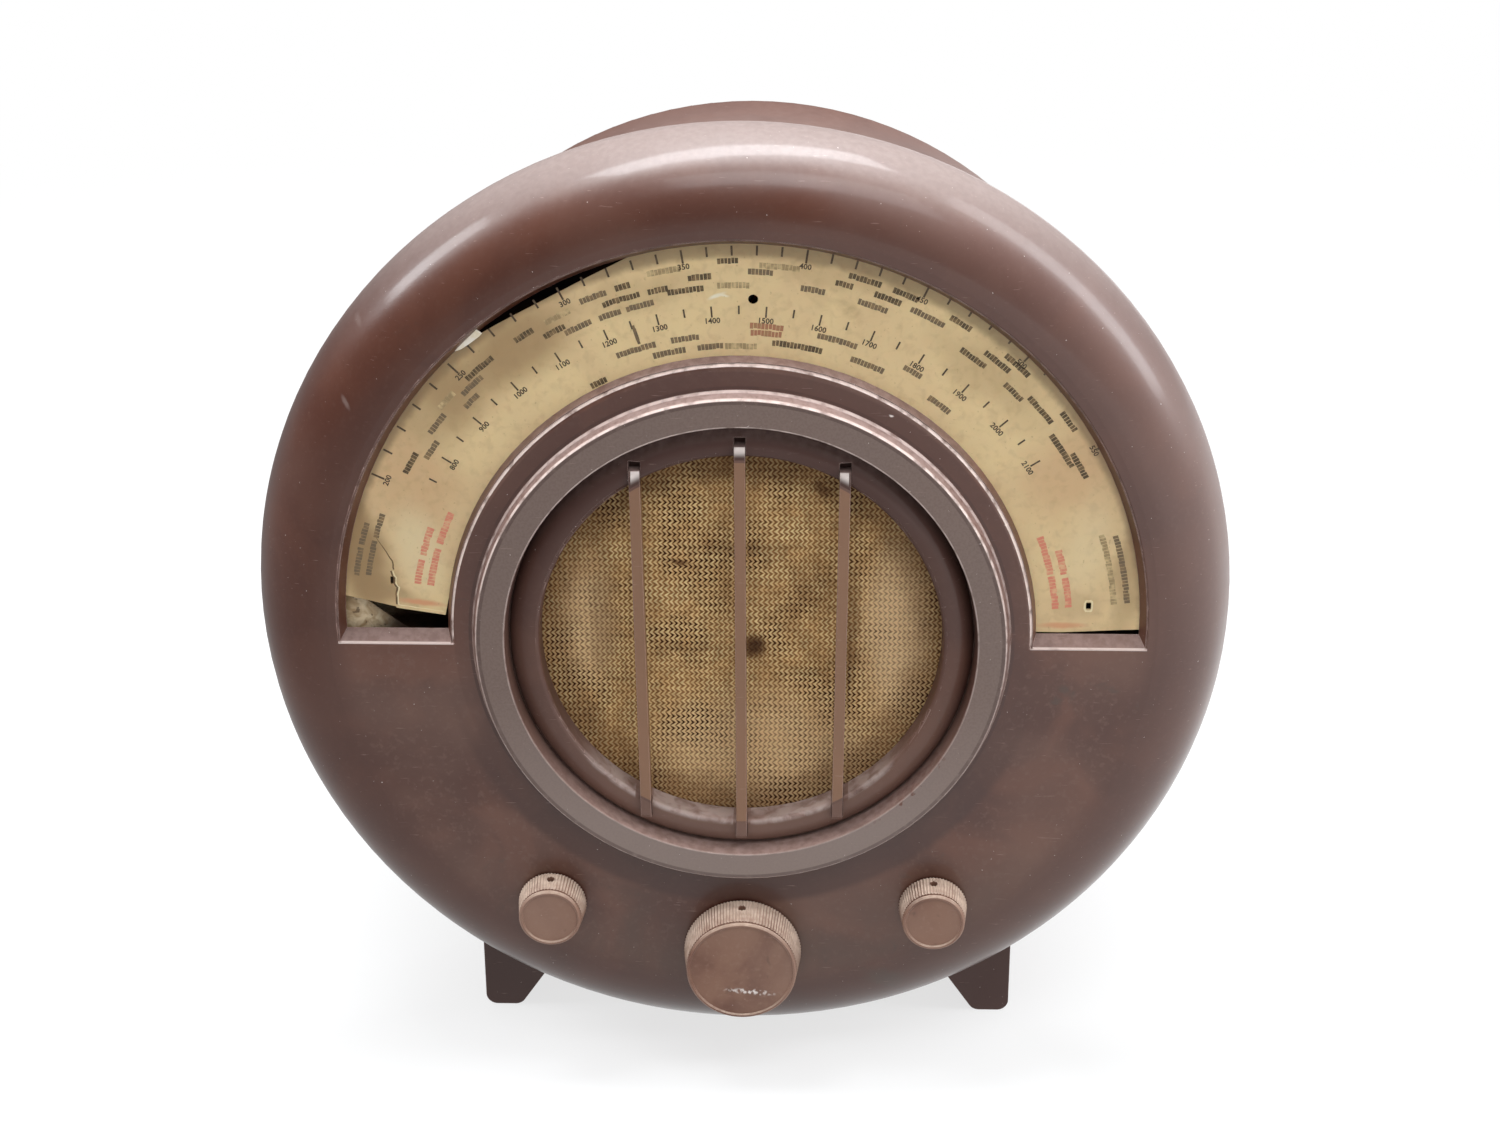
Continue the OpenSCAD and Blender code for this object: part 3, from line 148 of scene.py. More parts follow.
class ClothColours(PropertyGroup):
    thread: shade("Gold brown thread", "d09c62")
    thread_light: shade("Painted highlight on the crown of the threads", "fbdfa4")
    hole: shade("Gaps of the weave", "391c09")
    soil: shade("Damp stains and soot, and painted shade at the cloth's edge", "6a4526")
    pale: shade("Faded cloth", "eac596")


class WorksColours(PropertyGroup):
    zinc: shade("Dull zinc plate", "8f9192")
    cadmium: shade("Cadmium plate gone grey yellow", "97958a")
    # Painted shade: the near black of the lamp box's unlit inside
    soot: shade("Near black, painted shade inside the lamp box", "0d0a08")
    rust: shade("Brown rust through the tin", "4a3423")
    ledge: shade("Brown dirt on the lamp box's corner", "b39670")
    ledge_pale: shade("Pink grey dust on the corner", "e2cdaa")
    verdigris: shade("Grey green tarnish", "7d8374")
    brass: shade("Old brass", "a8863f")
    aluminium: shade("Sheet aluminium", "c2c3c2")
    enamel: shade("Black stoving enamel", "1f1c1a")
    fibre: shade("Pressed fibre board", "6b5033")
    plywood: shade("Birch plywood", "a5855a")
    paper: shade("Pressed paper pulp", "453b31")
    wax: shade("Waxed paper round the winding", "8a6a3c")


class DialSizes(PropertyGroup):
    print_gap: size("How far the print stands off the sheet", 0.04)
    outer_radius: size("Radius where the outer divisions start", 163.4)
    outer_short: size("Length of a short outer division", 3.9)
    outer_long: size("Length of a long outer division", 5.4)
    print_shift: size("How far the shrunken sheet's print has moved to the right", 3.2)
    inner_radius: size("Radius where the inner divisions start", 139.6)
    inner_short: size("Length of a short inner division", 3.4)
    inner_long: size("Length of a long inner division", 4.4)
    mark_width: size("Width of a division", 0.8)
    outer_step: angle("Angle between two outer divisions", 3.38)
    inner_step: angle("Angle between two inner divisions", 4.35)
    number_height: size("Height of the numbers", 2.2)
    number_gap: size("From the end of a mark to the middle of its number", 1.4)
    dash_height: size("Height of the bold dashes", 2.5)
    red_height: size("Height of the red dashes", 2.9)
    seed: IntProperty(description="Seed of the print's wear", default=7)


class ClothSizes(PropertyGroup):
    # The real weave is 1.8 by 1.24 mm, and is drawn a little coarser, so that it shows
    pitch: size("Distance between two gaps of the weave along a row", 2.0)
    row: size("Distance between two rows of the weave", 1.4)
    sag: size("How far the cloth has slackened", 0.25)


class StudioSizes(PropertyGroup):
    camera: FloatVectorProperty(
        description="Place of the camera", subtype="XYZ", unit="LENGTH", default=(0.0328, -1.0375, 0.6663)
    )
    yaw: angle("Camera's turn to its left", -1.753)
    pitch: angle("Camera's tilt down", 24.26)
    roll: angle("Camera's roll", -0.24)
    lens: FloatProperty(description="Focal length in mm on a 36 mm sensor", default=63.44)
    lamp: FloatProperty(description="Strength of all the lamps", default=1.0, min=0)
    sky: FloatProperty(description="Strength of the plain light all round", default=0.5, min=0)


GROUPS = {
    "radio_case": CaseColours,
    "radio_dial_colours": DialColours,
    "radio_cloth_colours": ClothColours,
    "radio_works": WorksColours,
    "radio_dial": DialSizes,
    "radio_cloth": ClothSizes,
    "radio_studio": StudioSizes,
}


# Shading


def add(at, kind, inputs=(), **settings):
    """Adds a shader node to a tree, which is given itself or by one of its nodes or sockets. inputs pairs a
    socket's name or number with a value, a colour's hex code, a node or a node's socket."""
    tree = at.id_data
    node = tree.nodes.new("ShaderNode" + kind)
    for name, value in settings.items():
        setattr(node, name, value)
    for key, value in dict(inputs).items():
        if isinstance(key, int):
            socket = node.inputs[key]
        else:
            socket = next(s for s in node.inputs if s.enabled and s.name == key)
        if isinstance(value, bpy.types.Node):
            value = next(s for s in value.outputs if s.enabled)
        if isinstance(value, bpy.types.NodeSocket):
            tree.links.new(value, socket)
        else:
            socket.default_value = linear(value) if isinstance(value, str) else value
    return node


def blank(name):
    """A new material with an empty tree and its place texture."""
    material = bpy.data.materials.new(name)
    material.use_nodes = True
    tree = material.node_tree
    tree.nodes.clear()
    place = add(tree, "TexCoord").outputs["Object"]
    return material, place


def close(place, colour, roughness, normal=None, **values):
    """Ends the tree of a material with its shader."""
    inputs = {"Base Color": colour, "Roughness": roughness}
    if normal:
        inputs["Normal"] = normal
    inputs.update({name.replace("_", " "): value for name, value in values.items()})
    shader = add(place, "BsdfPrincipled", inputs)
    add(place, "OutputMaterial", {"Surface": shader.outputs[0]})


def reckon(operation, *values):
    """Brings nodes, sockets and numbers together, one after the other."""
    result = values[0]
    for value in values[1:]:
        at = value if isinstance(result, (int, float)) else result
        result = add(at, "Math", {0: result, 1: value}, operation=operation)
    return result


def times(*values):
    return reckon("MULTIPLY", *values)


def paint(colour, *coats):
    """Lays coats over a colour, one after the other. Each is a stain with the masks that let it through."""
    for stain, *masks in coats:
        amount = times(*masks)
        inputs = {"Factor": amount, "A": colour, "B": stain}
        colour = add(amount, "Mix", inputs, data_type="RGBA")
    return colour


def smooth(value, start, end):
    """Goes softly from 0 at start to 1 at end."""
    inputs = {"Value": value, "From Min": start, "From Max": end}
    return add(value, "MapRange", inputs, interpolation_type="SMOOTHSTEP")


def ramp(value, low, high, start=0.0, end=1.0):
    """Goes straight from low, where the value is at start, to high, where it is at end."""
    inputs = {"Value": value, "From Min": start, "From Max": end, "To Min": low, "To Max": high}
    return add(value, "MapRange", inputs)


def between(value, low, high, soft):
    """1 where a value lies between low and high, with soft ends outside them."""
    rise = smooth(value, low - soft, low)
    return times(rise, smooth(value, high + soft, high))


def speckle(place, mm, detail=2.0, distortion=0.0):
    """Noise with patches of a real size."""
    inputs = {"Vector": place, "Scale": 1 / (mm * MM), "Detail": detail, "Distortion": distortion}
    return add(place, "TexNoise", inputs)


def grain(place, mm, low, high, detail=3.0, distortion=0.0):
    """Noise pulled to 0 below low and to 1 above high."""
    return smooth(speckle(place, mm, detail, distortion), low, high)


def measured(place):
    """The place in millimetres: across the set, behind the front panel, and above the speaker's axis."""
    inputs = {"Vector": place, "Location": (0, FRONT, AXIS.z), "Scale": (MM, MM, MM)}
    moved = add(place, "Mapping", inputs, vector_type="TEXTURE")
    return add(place, "SeparateXYZ", {"Vector": moved}).outputs


def distance(place, x=0.0, z=0.0, wide=1.0, high=1.0, turn=0.0):
    """Distance over the front from a point that lies x to the right of and z above the speaker's axis, in
    millimetres. wide and high stretch and squeeze it to an oval of that half width and half height."""
    inputs = {
        "Vector": place, "Location": (AXIS.x + x * MM, 0, AXIS.z + z * MM),
        "Rotation": (0, math.radians(turn), 0), "Scale": (wide * MM, ANY_DEPTH, high * MM),
    }
    flat = add(place, "Mapping", inputs, vector_type="TEXTURE")
    return add(place, "VectorMath", {0: flat}, operation="LENGTH").outputs["Value"]


def patch(place, x, z, wide, high, turn=0.0):
    """1 in the middle of an oval on the front, fading out to its edge."""
    return smooth(distance(place, x, z, wide, high, turn), 1.0, 0.25)


def patches(place, rows, *masks):
    """Oval coats. A row has an oval's centre, half width, half height, turn, stain and strength."""
    return [(stain, patch(place, *oval), amount, *masks) for *oval, stain, amount in rows]


def drift(place, mm, shift):
    """The place, pushed about by noise so that what is drawn at it gets uneven."""
    ripple = speckle(place, mm).outputs["Color"]
    bend = add(place, "VectorMath", {0: ripple, 1: (0.5, 0.5, 0.5)}, operation="SUBTRACT")
    bend = add(place, "VectorMath", {0: bend, "Scale": shift * MM}, operation="SCALE")
    return add(place, "VectorMath", {0: place, 1: bend}, operation="ADD").outputs[0]


def looks_up(place, low=0.25, high=0.95):
    """1 where a face looks up, 0 where it stands upright."""
    up = add(place, "SeparateXYZ", {"Vector": add(place, "NewGeometry").outputs["Normal"]})
    return smooth(up.outputs["Z"], low, high)


def rounded(place, mm):
    """The normal of edges rounded over by a radius."""
    return add(place, "Bevel", {"Radius": mm * MM}, samples=4)


def rubbed_edge(place, mm):
    """1 on sharp outer and inner edges, where the rounded normal leaves the true one."""
    true = add(place, "NewGeometry").outputs["True Normal"]
    match = add(place, "VectorMath", {0: rounded(place, mm), 1: true}, operation="DOT_PRODUCT")
    return smooth(match.outputs["Value"], 0.985, 0.86)


def relief(height, strength, mm, **inputs):
    """Bumps that are some millimetres high at full strength."""
    return add(height, "Bump", {"Height": height, "Strength": strength, "Distance": mm * MM, **inputs})


def house_dust(place, colour, amount):
    """Lays uneven dust on what looks up. Gives the colour and where the dust lies."""
    settled = times(looks_up(place), grain(place, 9, 0.3, 0.7, 6))
    return paint(colour, (bpy.context.scene.radio_case.dust, settled, amount)), settled


def moulded_phenolic(name, c, resin, bloom, gloss, worn, edge_mm, dust, coat, zones):
    """Compression moulded phenolic: faint flow marks, a polish that has bloomed in patches, fine pits,
    rubbed edges and house dust on top."""
    material, place = blank(name)
    clouds = grain(place, 70, 0.36, 0.72, 7, 0.4)
    colour = paint(
        resin,
        (c.flow, grain(place, 38, 0.38, 0.66, 5, 0.8)),
        (bloom, grain(place, 2.2, 0.5, 0.74, 6), 0.3),
        (bloom, clouds, worn),
        (c.smear, grain(place, 13, 0.64, 0.78, 5, 1.4), 0.5),
    )
    colour, keeps, dull = zones(place, colour, c)
    # Handling scratches are drawn about three times as coarse as real ones, so that they show
    streaks = add(place, "Mapping", {"Vector": place, "Rotation": (0.2, 0.5, 0.3), "Scale": (1, 6, 14)})
    scratches = grain(streaks, 9, 0.68, 0.76, 4, 0.2)
    film = ramp(grain(place, 3.2, 0.3, 0.7, 8), 0.5, 1.0)
    settled = times(looks_up(place), film, keeps)
    colour = paint(
        colour,
        (c.edge, scratches, 0.2),
        (c.edge, rubbed_edge(place, edge_mm), grain(place, 6, 0.25, 0.6), 0.6),
        (dust, settled),
        (c.flake, grain(place, 1.1, 0.765, 0.79, 2), 0.6),
    )
    rough = ramp(clouds, gloss, gloss + 0.12)
    rough = reckon("ADD", rough, times(settled, 0.5), dull)
    # Orange peel of the mould's steel, 1.5 mm across and some microns deep
    height = reckon("ADD", speckle(place, 1.5, 3.0), times(scratches, -0.6))
    bump = relief(height, 0.1, 0.05, Normal=rounded(place, 0.45))
    close(place, colour, rough, bump, IOR=1.55, Coat_Weight=coat, Coat_Roughness=0.12)
    return material


def case_zones(place, colour, c):
    """The case's own places: grey ring with painted light, dusty chamfer, painted shade and light on the
    roll, painted shade under the ring, on the lower rim and feet, painted highlights on edges, sill and bar
    ends, and dust that only ledges keep.
    """
    radius = distance(place)
    across, depth, height = measured(place)

    def ring(low, high, soft):
        return between(radius, low, high, soft)

    proud = ramp(depth, 0, 1, -0.6, -1.6)
    high = ramp(height, 0, 1, -70, 60)
    low = ramp(height, 0, 1, -20, -80)
    # The rim has been wiped and polished, so that it shows the clean resin; the flat panel keeps its haze
    clean = ring(166, FAR, 12)
    feet = ring(RIM / MM + 6, FAR, 12)
    hollow = ring(80.4, 94.2, 0.3)
    # The ring's face: grey bloom with dark speckle, and painted light that makes it paler towards its foot
    worn = paint(c.ring, (c.shadow, grain(place, 1.0, 0.42, 0.62), 0.16), (c.ring_low, low, 0.5))
    chips = times(patch(place, 70, -63, 34, 26), ring(91, 95.6, 0.6))
    colour = paint(
        colour,
        (c.smear, ramp(height, 0, 1, -90, -135), grain(place, 34, 0.25, 0.65, 6, 0.6), 0.5),
        (c.resin, clean, 0.7),
        # Painted shade: the polished rim darker towards the bottom
        (c.shadow, ramp(height, 0, 1, -140, -180), clean, 0.5),
        (c.resin, ring(108.5, 114.5, 1), high, 0.7),
        # Painted shadow under the lower half of the ring
        (c.shadow, ring(107.6, 119, 4), low, 0.75),
        (worn, ring(94.4, 105.4, 0.4), proud, 0.9),
        # The roll: an even bloom, with painted shade on its upper part and painted light on its lower part
        (c.bloom, hollow, 0.3), (c.shadow, hollow, high, 0.9), (c.bloom, hollow, low, 0.5),
        (c.flow, chips, grain(place, 2.4, 0.5, 0.6, 5)),
        # The bars' own brown, and painted shade on the feet
        (c.bar, ring(0, 79, 0.4), 0.75), (c.shadow, feet, 0.9),
        *patches(drift(place, 4, 6), (
            (130, -20, 5, 2.5, 30, c.smear, 0.6), (127, -25, 3, 2.5, 0, c.smear, 0.6),
            (60, -158, 12, 7, 20, c.smear, 0.6),
        )),
        # White chips and flakes, on the front only
        *patches(drift(place, 2, 0.8), (
            (-149.6, 131.8, 2.2, 6, -38, c.flake, 0.12), (-152.5, 100, 1.4, 4, -30, c.flake, 0.1),
            (58.3, 97.2, 1.3, 0.7, 20, c.flake, 1), (104, 52, 1, 0.6, 0, c.flake, 1),
            (62.4, -38.7, 0.9, 0.7, 0, c.flake, 0.8), (-73.3, -9, 0.8, 0.8, 0, c.flake, 0.8),
        ), ramp(depth, 0, 1, 20, 12)),
        # Dust on the ring's chamfer, a dark line just inside the ring's front edge, and painted shade in the
        # corner at its foot
        (c.dust, ring(105.5, 108.6, 0.3), proud, grain(place, 1.8, 0.2, 0.6, 6), 0.35),
        (c.shadow, ring(103.9, 104.9, 0.4), grain(place, 5, 0.2, 0.5, 4), 0.55),
        (c.shadow, ring(107.9, 108.8, 0.4), grain(place, 5, 0.2, 0.5, 4), 0.6),
    )
    # Painted highlights: thin pale lines on both edges of the ring's chamfer, its inner edge and the lip
    # under the dial, brighter towards the top
    upper = ramp(height, 0.3, 1.0, -30, 80)
    window = between(height, -1, 200, 1)
    for start, end, up, amount, where in (
        (105.3, 105.8, 0, 1, upper), (107.0, 107.4, 0, 0.8, upper), (94.2, 94.6, 0, 0.55, upper),
        (115.1, 115.9, 1.8, 0.95, window),
    ):
        line = between(distance(place, z=up), start, end, 0.2)
        colour = paint(colour, (c.line, line, amount, where, grain(place, 5, 0.25, 0.58, 7)))
    # Painted highlight along the front edge of the window's sill
    sill = times(
        between(height, -2.1, -1.3, 0.15), ring(115.5, 161.5, 0.3), ramp(depth, 0, 1, 1.2, 0.6),
        grain(place, 8, 0.1, 0.4, 5),
    )
    # Painted highlight on the rounded top ends of the three bars. Only the bars reach this depth, so the
    # slots behind stay dark
    bars = reckon("PINGPONG", across, 20)
    caps = times(
        smooth(radius, 81, 84.5), between(bars, -9, 2.2, 0.2), between(across, -60, 60, 1),
        ring(0, 86.6, 0.3), looks_up(place, -0.35, -0.05), between(depth, -5, -3.3, 0.3), high,
    )
    # Dust that has slid down the cloth and lies on the lower lip between the bars
    clear = reckon("SUBTRACT", 1.0, between(bars, -9, 3.4, 0.3))
    lying = times(
        ring(79.4, 80.8, 2.2), between(height, -200, -62, 16), grain(place, 6, 0.3, 0.62, 7, 0.5), clear
    )
    # Pale dust along the rim's crest, which also paints part of the highlight there
    film = ramp(grain(place, 2.6, 0.3, 0.7, 8), 0.85, 1.0)
    crest = times(looks_up(place, 0.5, 0.95), film, ring(176, FAR, 6))
    colour = paint(
        colour, (c.line, sill, 0.75), (c.flake, caps), (c.flake, lying, 0.45), (c.crest, crest, 0.26)
    )
    # Dust lies thicker on the ledges of the front than on the drum, which is wiped now and then
    inside = times(ring(0, 164, 4), ramp(depth, 0.35, 1.0, 70, 30))
    dull = times(reckon("ADD", hollow, feet), 0.3)
    panel = ramp(clean, 0.1, 0.0)
    return colour, ramp(inside, 0.06, 0.48), reckon("ADD", dull, panel)


def knob_zones(place, colour, c):
    """The knobs' own places: a scuff on the big one's face, and dust that the ribs keep."""
    scuff = patch(drift(place, 3, 2.5), 3.5, -154.2, 14, 1.8, 5)
    colour = paint(colour, (c.flake, scuff, grain(place, 1.6, 0.46, 0.6, 6)))
    depth = measured(place)["Y"]
    return colour, ramp(depth, 0.8, 1.4, -12, -3), 0.0


def aged_celluloid(name, c):
    """Cellulose nitrate sheet, rolled and printed: translucent, gone yellow in patches, stained where damp
    crept in, and still a little glossy."""
    material, place = blank(name)
    stains = grain(place, 30, 0.58, 0.82, 6, 1.2)
    radius = distance(drift(place, 6, 2.5))
    colour = paint(
        c.sheet,
        (c.yellowed, grain(place, 55, 0.36, 0.64, 4, 0.6)),
        *patches(drift(place, 18, 16), (
            (-152, 40, 15, 44, -12, c.soiled, 0.95), (-118, 100, 42, 26, -45, c.soiled, 0.5),
            (-138, 17, 22, 6, 8, c.soiled, 0.5), (-92, 118, 30, 16, -38, c.soiled, 0.4),
            (-128, 66, 26, 26, 0, c.pinked, 0.9), (128, 72, 30, 30, 0, c.pinked, 0.9),
            (96, 112, 40, 16, 42, c.soiled, 0.35), (154, 30, 9, 38, 6, c.soiled, 0.6),
            (-40, 144, 34, 9, -16, c.soiled, 0.3), (40, 150, 40, 8, 15, c.soiled, 0.3),
            (132, 16, 16, 10, 0, c.soiled, 0.25),
        )),
        (c.soiled, stains, 0.45),
        (c.soiled, grain(place, 4, 0.45, 0.75, 7, 0.4), 0.22),
        # Darker towards the sheet's outer edge
        (c.crack, between(radius, 160.5, 200, 3.5), 0.55),
        *patches(drift(place, 5, 1.2), (
            (-84, 124, 34, 20, -34, c.soiled, 0.75), (-112, 104, 16, 22, -30, c.soiled, 0.6),
            (-153, 40, 11, 34, -10, c.soiled, 0.85), (-146, 20, 16, 14, 0, c.soiled, 0.7),
            # Painted light: paler patches low on both ends of the sheet
            (-128, 38, 13, 26, -10, c.torn, 0.45), (136, 40, 12, 30, 8, c.torn, 0.25),
            (-128, 14.2, 13, 1.9, 7, c.peach, 0.9), (128, 6.3, 13, 1.8, 0, c.peach, 0.8),
            # Painted highlight: a white glare beside the hole
            (-8.6, 143.4, 4.6, 1.1, -22, c.glare, 0.9), (-5.6, 143.6, 2.4, 0.7, 10, c.glare, 0.8),
        )),
        (c.soiled, grain(place, 1.4, 0.68, 0.76, 2), 0.4),
    )
    bump = relief(speckle(place, 28), 0.5, 1.2)
    rough = ramp(stains, 0.42, 0.6)
    close(place, colour, rough, bump, IOR=1.5, Subsurface_Weight=0.15, Subsurface_Scale=1.2 * MM)
    return material


def printed_ink(name, ink, faded):
    """Screen printed ink on celluloid: matt, thin and rubbed away in places."""
    material, place = blank(name)
    close(place, paint(ink, (faded, grain(place, 3, 0.42, 0.7, 5), 0.6)), 0.62)
    return material


def plated_metal(name, plate, tarnish, roughness, brush=(1, 1, 1), metallic=1.0, spots=0.5):
    """Plated or rolled sheet metal: brushed one way, dulled in patches, with dust on top."""
    material, place = blank(name)
    colour = paint(
        plate,
        (tarnish, grain(place, 14, 0.38, 0.68, 6, 0.5), spots),
        (tarnish, grain(place, 1.1, 0.66, 0.76, 2), 0.5),
    )
    brushed = speckle(add(place, "Mapping", {"Vector": place, "Scale": brush}), 0.8, 4.0)
    colour, settled = house_dust(place, colour, 0.5)
    rough = ramp(brushed, roughness - 0.08, roughness + 0.12)
    rough = reckon("ADD", rough, times(settled, 0.35))
    bump = relief(brushed, 0.15, 0.05, Normal=rounded(place, 0.25))
    close(place, colour, rough, bump, Metallic=ramp(settled, metallic, metallic * 0.4))
    return material


def grimy_tin(name, w):
    """Tinned sheet steel of the lamp box: near black, which is painted shade for the box's unlit inside, with
    dull rust over it; where dust fell in at the broken corner it is mottled brown, pink and grey green."""
    material, place = blank(name)
    mottle = paint(
        w.ledge,
        (w.ledge_pale, grain(place, 5, 0.36, 0.64, 7, 0.8)),
        (w.verdigris, grain(place, 9, 0.6, 0.72, 6, 1.2)),
        (w.rust, grain(place, 3, 0.58, 0.66, 5), 0.7),
    )
    colour = paint(
        # Painted shade: the box's inside near black, as it lies in shade
        w.soot,
        (w.rust, grain(place, 18, 0.35, 0.7, 6, 0.6)),
        (mottle, patch(drift(place, 8, 6), -157, 6, 20, 20)),
    )
    bump = relief(grain(place, 3, 0.3, 0.7, 6), 0.5, 0.3)
    close(place, colour, 0.7, bump, Metallic=0.1)
    return material


def matt_stuff(name, first, second, mm, roughness, stretch=(1, 1, 1), depth=0.1):
    """Fibrous or dull stuff such as board, paper, cord and rubber: flecked, with a rough face."""
    material, place = blank(name)
    lie = add(place, "Mapping", {"Vector": place, "Scale": stretch})
    flecks = grain(lie, mm, 0.35, 0.68, 6)
    clouds = grain(place, 26, 0.4, 0.7, 4)
    colour = paint(first, (second, flecks), (second, clouds, 0.35))
    colour, settled = house_dust(place, colour, 0.55)
    bump = relief(speckle(lie, mm * 0.5, 5.0), 0.5, depth)
    close(place, colour, roughness, bump, IOR=1.5)
    return material


def bulb_glass(name):
    """Blown soda glass: thin, clear, with a grey getter film and a dusty shoulder."""
    material, place = blank(name)
    settled = times(looks_up(place, 0.0, 1.0), grain(place, 5, 0.25, 0.7, 6))
    colour = paint(
        "eef1ef",
        ("b9bdb9", grain(place, 12, 0.4, 0.7, 4)),
        (bpy.context.scene.radio_case.dust, settled, 0.6),
    )
    clear = ramp(settled, 0.9, 0.35)
    close(place, colour, ramp(settled, 0.04, 0.5), IOR=1.5, Transmission_Weight=clear)
    return material


def speaker_weave(name, c, sizes):
    """Woven speaker cloth: gold brown threads with dark gaps in staggered rows, stained by damp and soot,
    with a painted highlight on the threads' crowns and painted shade towards the cloth's edge.
    """
    material, place = blank(name)
    bent = drift(drift(place, 16, 2.6), 3, 0.55)
    x, _, z = add(place, "SeparateXYZ", {"Vector": bent}).outputs
    # Each row of threads leans the other way, which gives the cloth its herringbone
    lean = times(reckon("PINGPONG", z, sizes.row), 0.7 * sizes.pitch / sizes.row)
    along = times(reckon("ADD", x, lean), 2 * math.pi / sizes.pitch)
    warp = add(place, "Math", {0: along}, operation="COSINE")
    weft = add(place, "Math", {0: times(z, math.pi / sizes.row)}, operation="COSINE")
    # Every other pair of rows lies apart, and the gaps are wide and dark there
    cross = reckon("ADD", warp, times(weft, 0.42))
    gap = smooth(cross, 0.15, 0.95)
    uneven = ramp(grain(place, 9, 0.3, 0.7, 4), 1.0, 0.45)
    # Painted highlight on the crowns of the threads
    crown = times(smooth(cross, 0.1, -0.7), uneven)
    loose = drift(place, 10, 9)
    colour = paint(
        c.thread,
        (c.thread_light, crown),
        (c.soil, grain(place, 4, 0.35, 0.7, 5), 0.3),
        (c.soil, grain(place, 30, 0.45, 0.7, 6, 0.8), 0.3),
        *patches(loose, (
            (-62, 5, 16, 40, 0, c.pale, 0.6), (10, -55, 66, 40, 0, c.pale, 0.6),
            (62, 0, 20, 56, 0, c.pale, 0.85), (-56, 10, 9, 50, 0, c.soil, 0.35),
            (6, 72, 46, 10, 0, c.soil, 0.3), (-24, 31, 5, 2, 20, c.soil, 0.8),
            (2, 37, 34, 4, 0, c.soil, 0.35), (32, 63, 6, 3, 20, c.soil, 0.7),
            (4, -6, 10, 8, 0, c.soil, 0.9), (5.6, -5.8, 5, 4, 0, c.hole, 0.6),
            (43, -3, 6, 50, 4, c.soil, 0.5), (-22, -8, 22, 6, 0, c.soil, 0.3),
            (30, 20, 14, 18, 0, c.soil, 0.3),
        )),
        # Painted shade: the cloth darker towards its edge, where the roll shades it
        (c.soil, between(distance(loose), 74, 200, 12), 0.45),
        (c.hole, gap, ramp(grain(place, 22, 0.35, 0.6, 4), 1.0, 0.48)),
    )
    bump = relief(reckon("SUBTRACT", crown, gap), 0.8, 0.35)
    close(place, colour, 0.85, bump, IOR=1.35, Sheen_Weight=0.04, Sheen_Roughness=0.4)
    return material


def wear(material, *names):
    """Puts a material on every slot of these parts or pieces."""
    for name in names:
        piece = NODES.get(name) or bpy.data.objects[name]
        if not piece.material_slots:
            piece.data.materials.append(material)
        for slot in piece.material_slots:
            slot.material = material


def new_piece(name, mesh, body, material):
    """Links a mesh as a piece that rides on a body."""
    piece = bpy.data.objects.new(name, mesh)
    bpy.context.scene.collection.objects.link(piece)
    mesh.materials.append(material)
    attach(piece, body)
    return piece


# Pieces


class MouldedCase(Operator):
    """Finishes the case and its grille bars"""

    bl_idname = "radio.moulded_case"
    bl_label = "Moulded Case"

    def execute(self, context):
        c = context.scene.radio_case
        case = moulded_phenolic(
            "moulded phenolic, polished", c, c.resin, c.bloom, 0.28, 0.5, 0.6, c.dust, 0.25, case_zones
        )
        wear(case, "cabinet", "grille_bars")
        return {"FINISHED"}


class Knobs(Operator):
    """Finishes the three ribbed knobs"""

    bl_idname = "radio.knobs"
    bl_label = "Knobs"

    def execute(self, context):
        c = context.scene.radio_case
        knob = moulded_phenolic(
            "moulded phenolic, handled", c, c.knob, c.knob_worn, 0.48, 0.6, 0.25, c.knob_dust, 0.0, knob_zones
        )
        wear(knob, "tuning_knob", "volume_knob", "wave_knob")
        return {"FINISHED"}


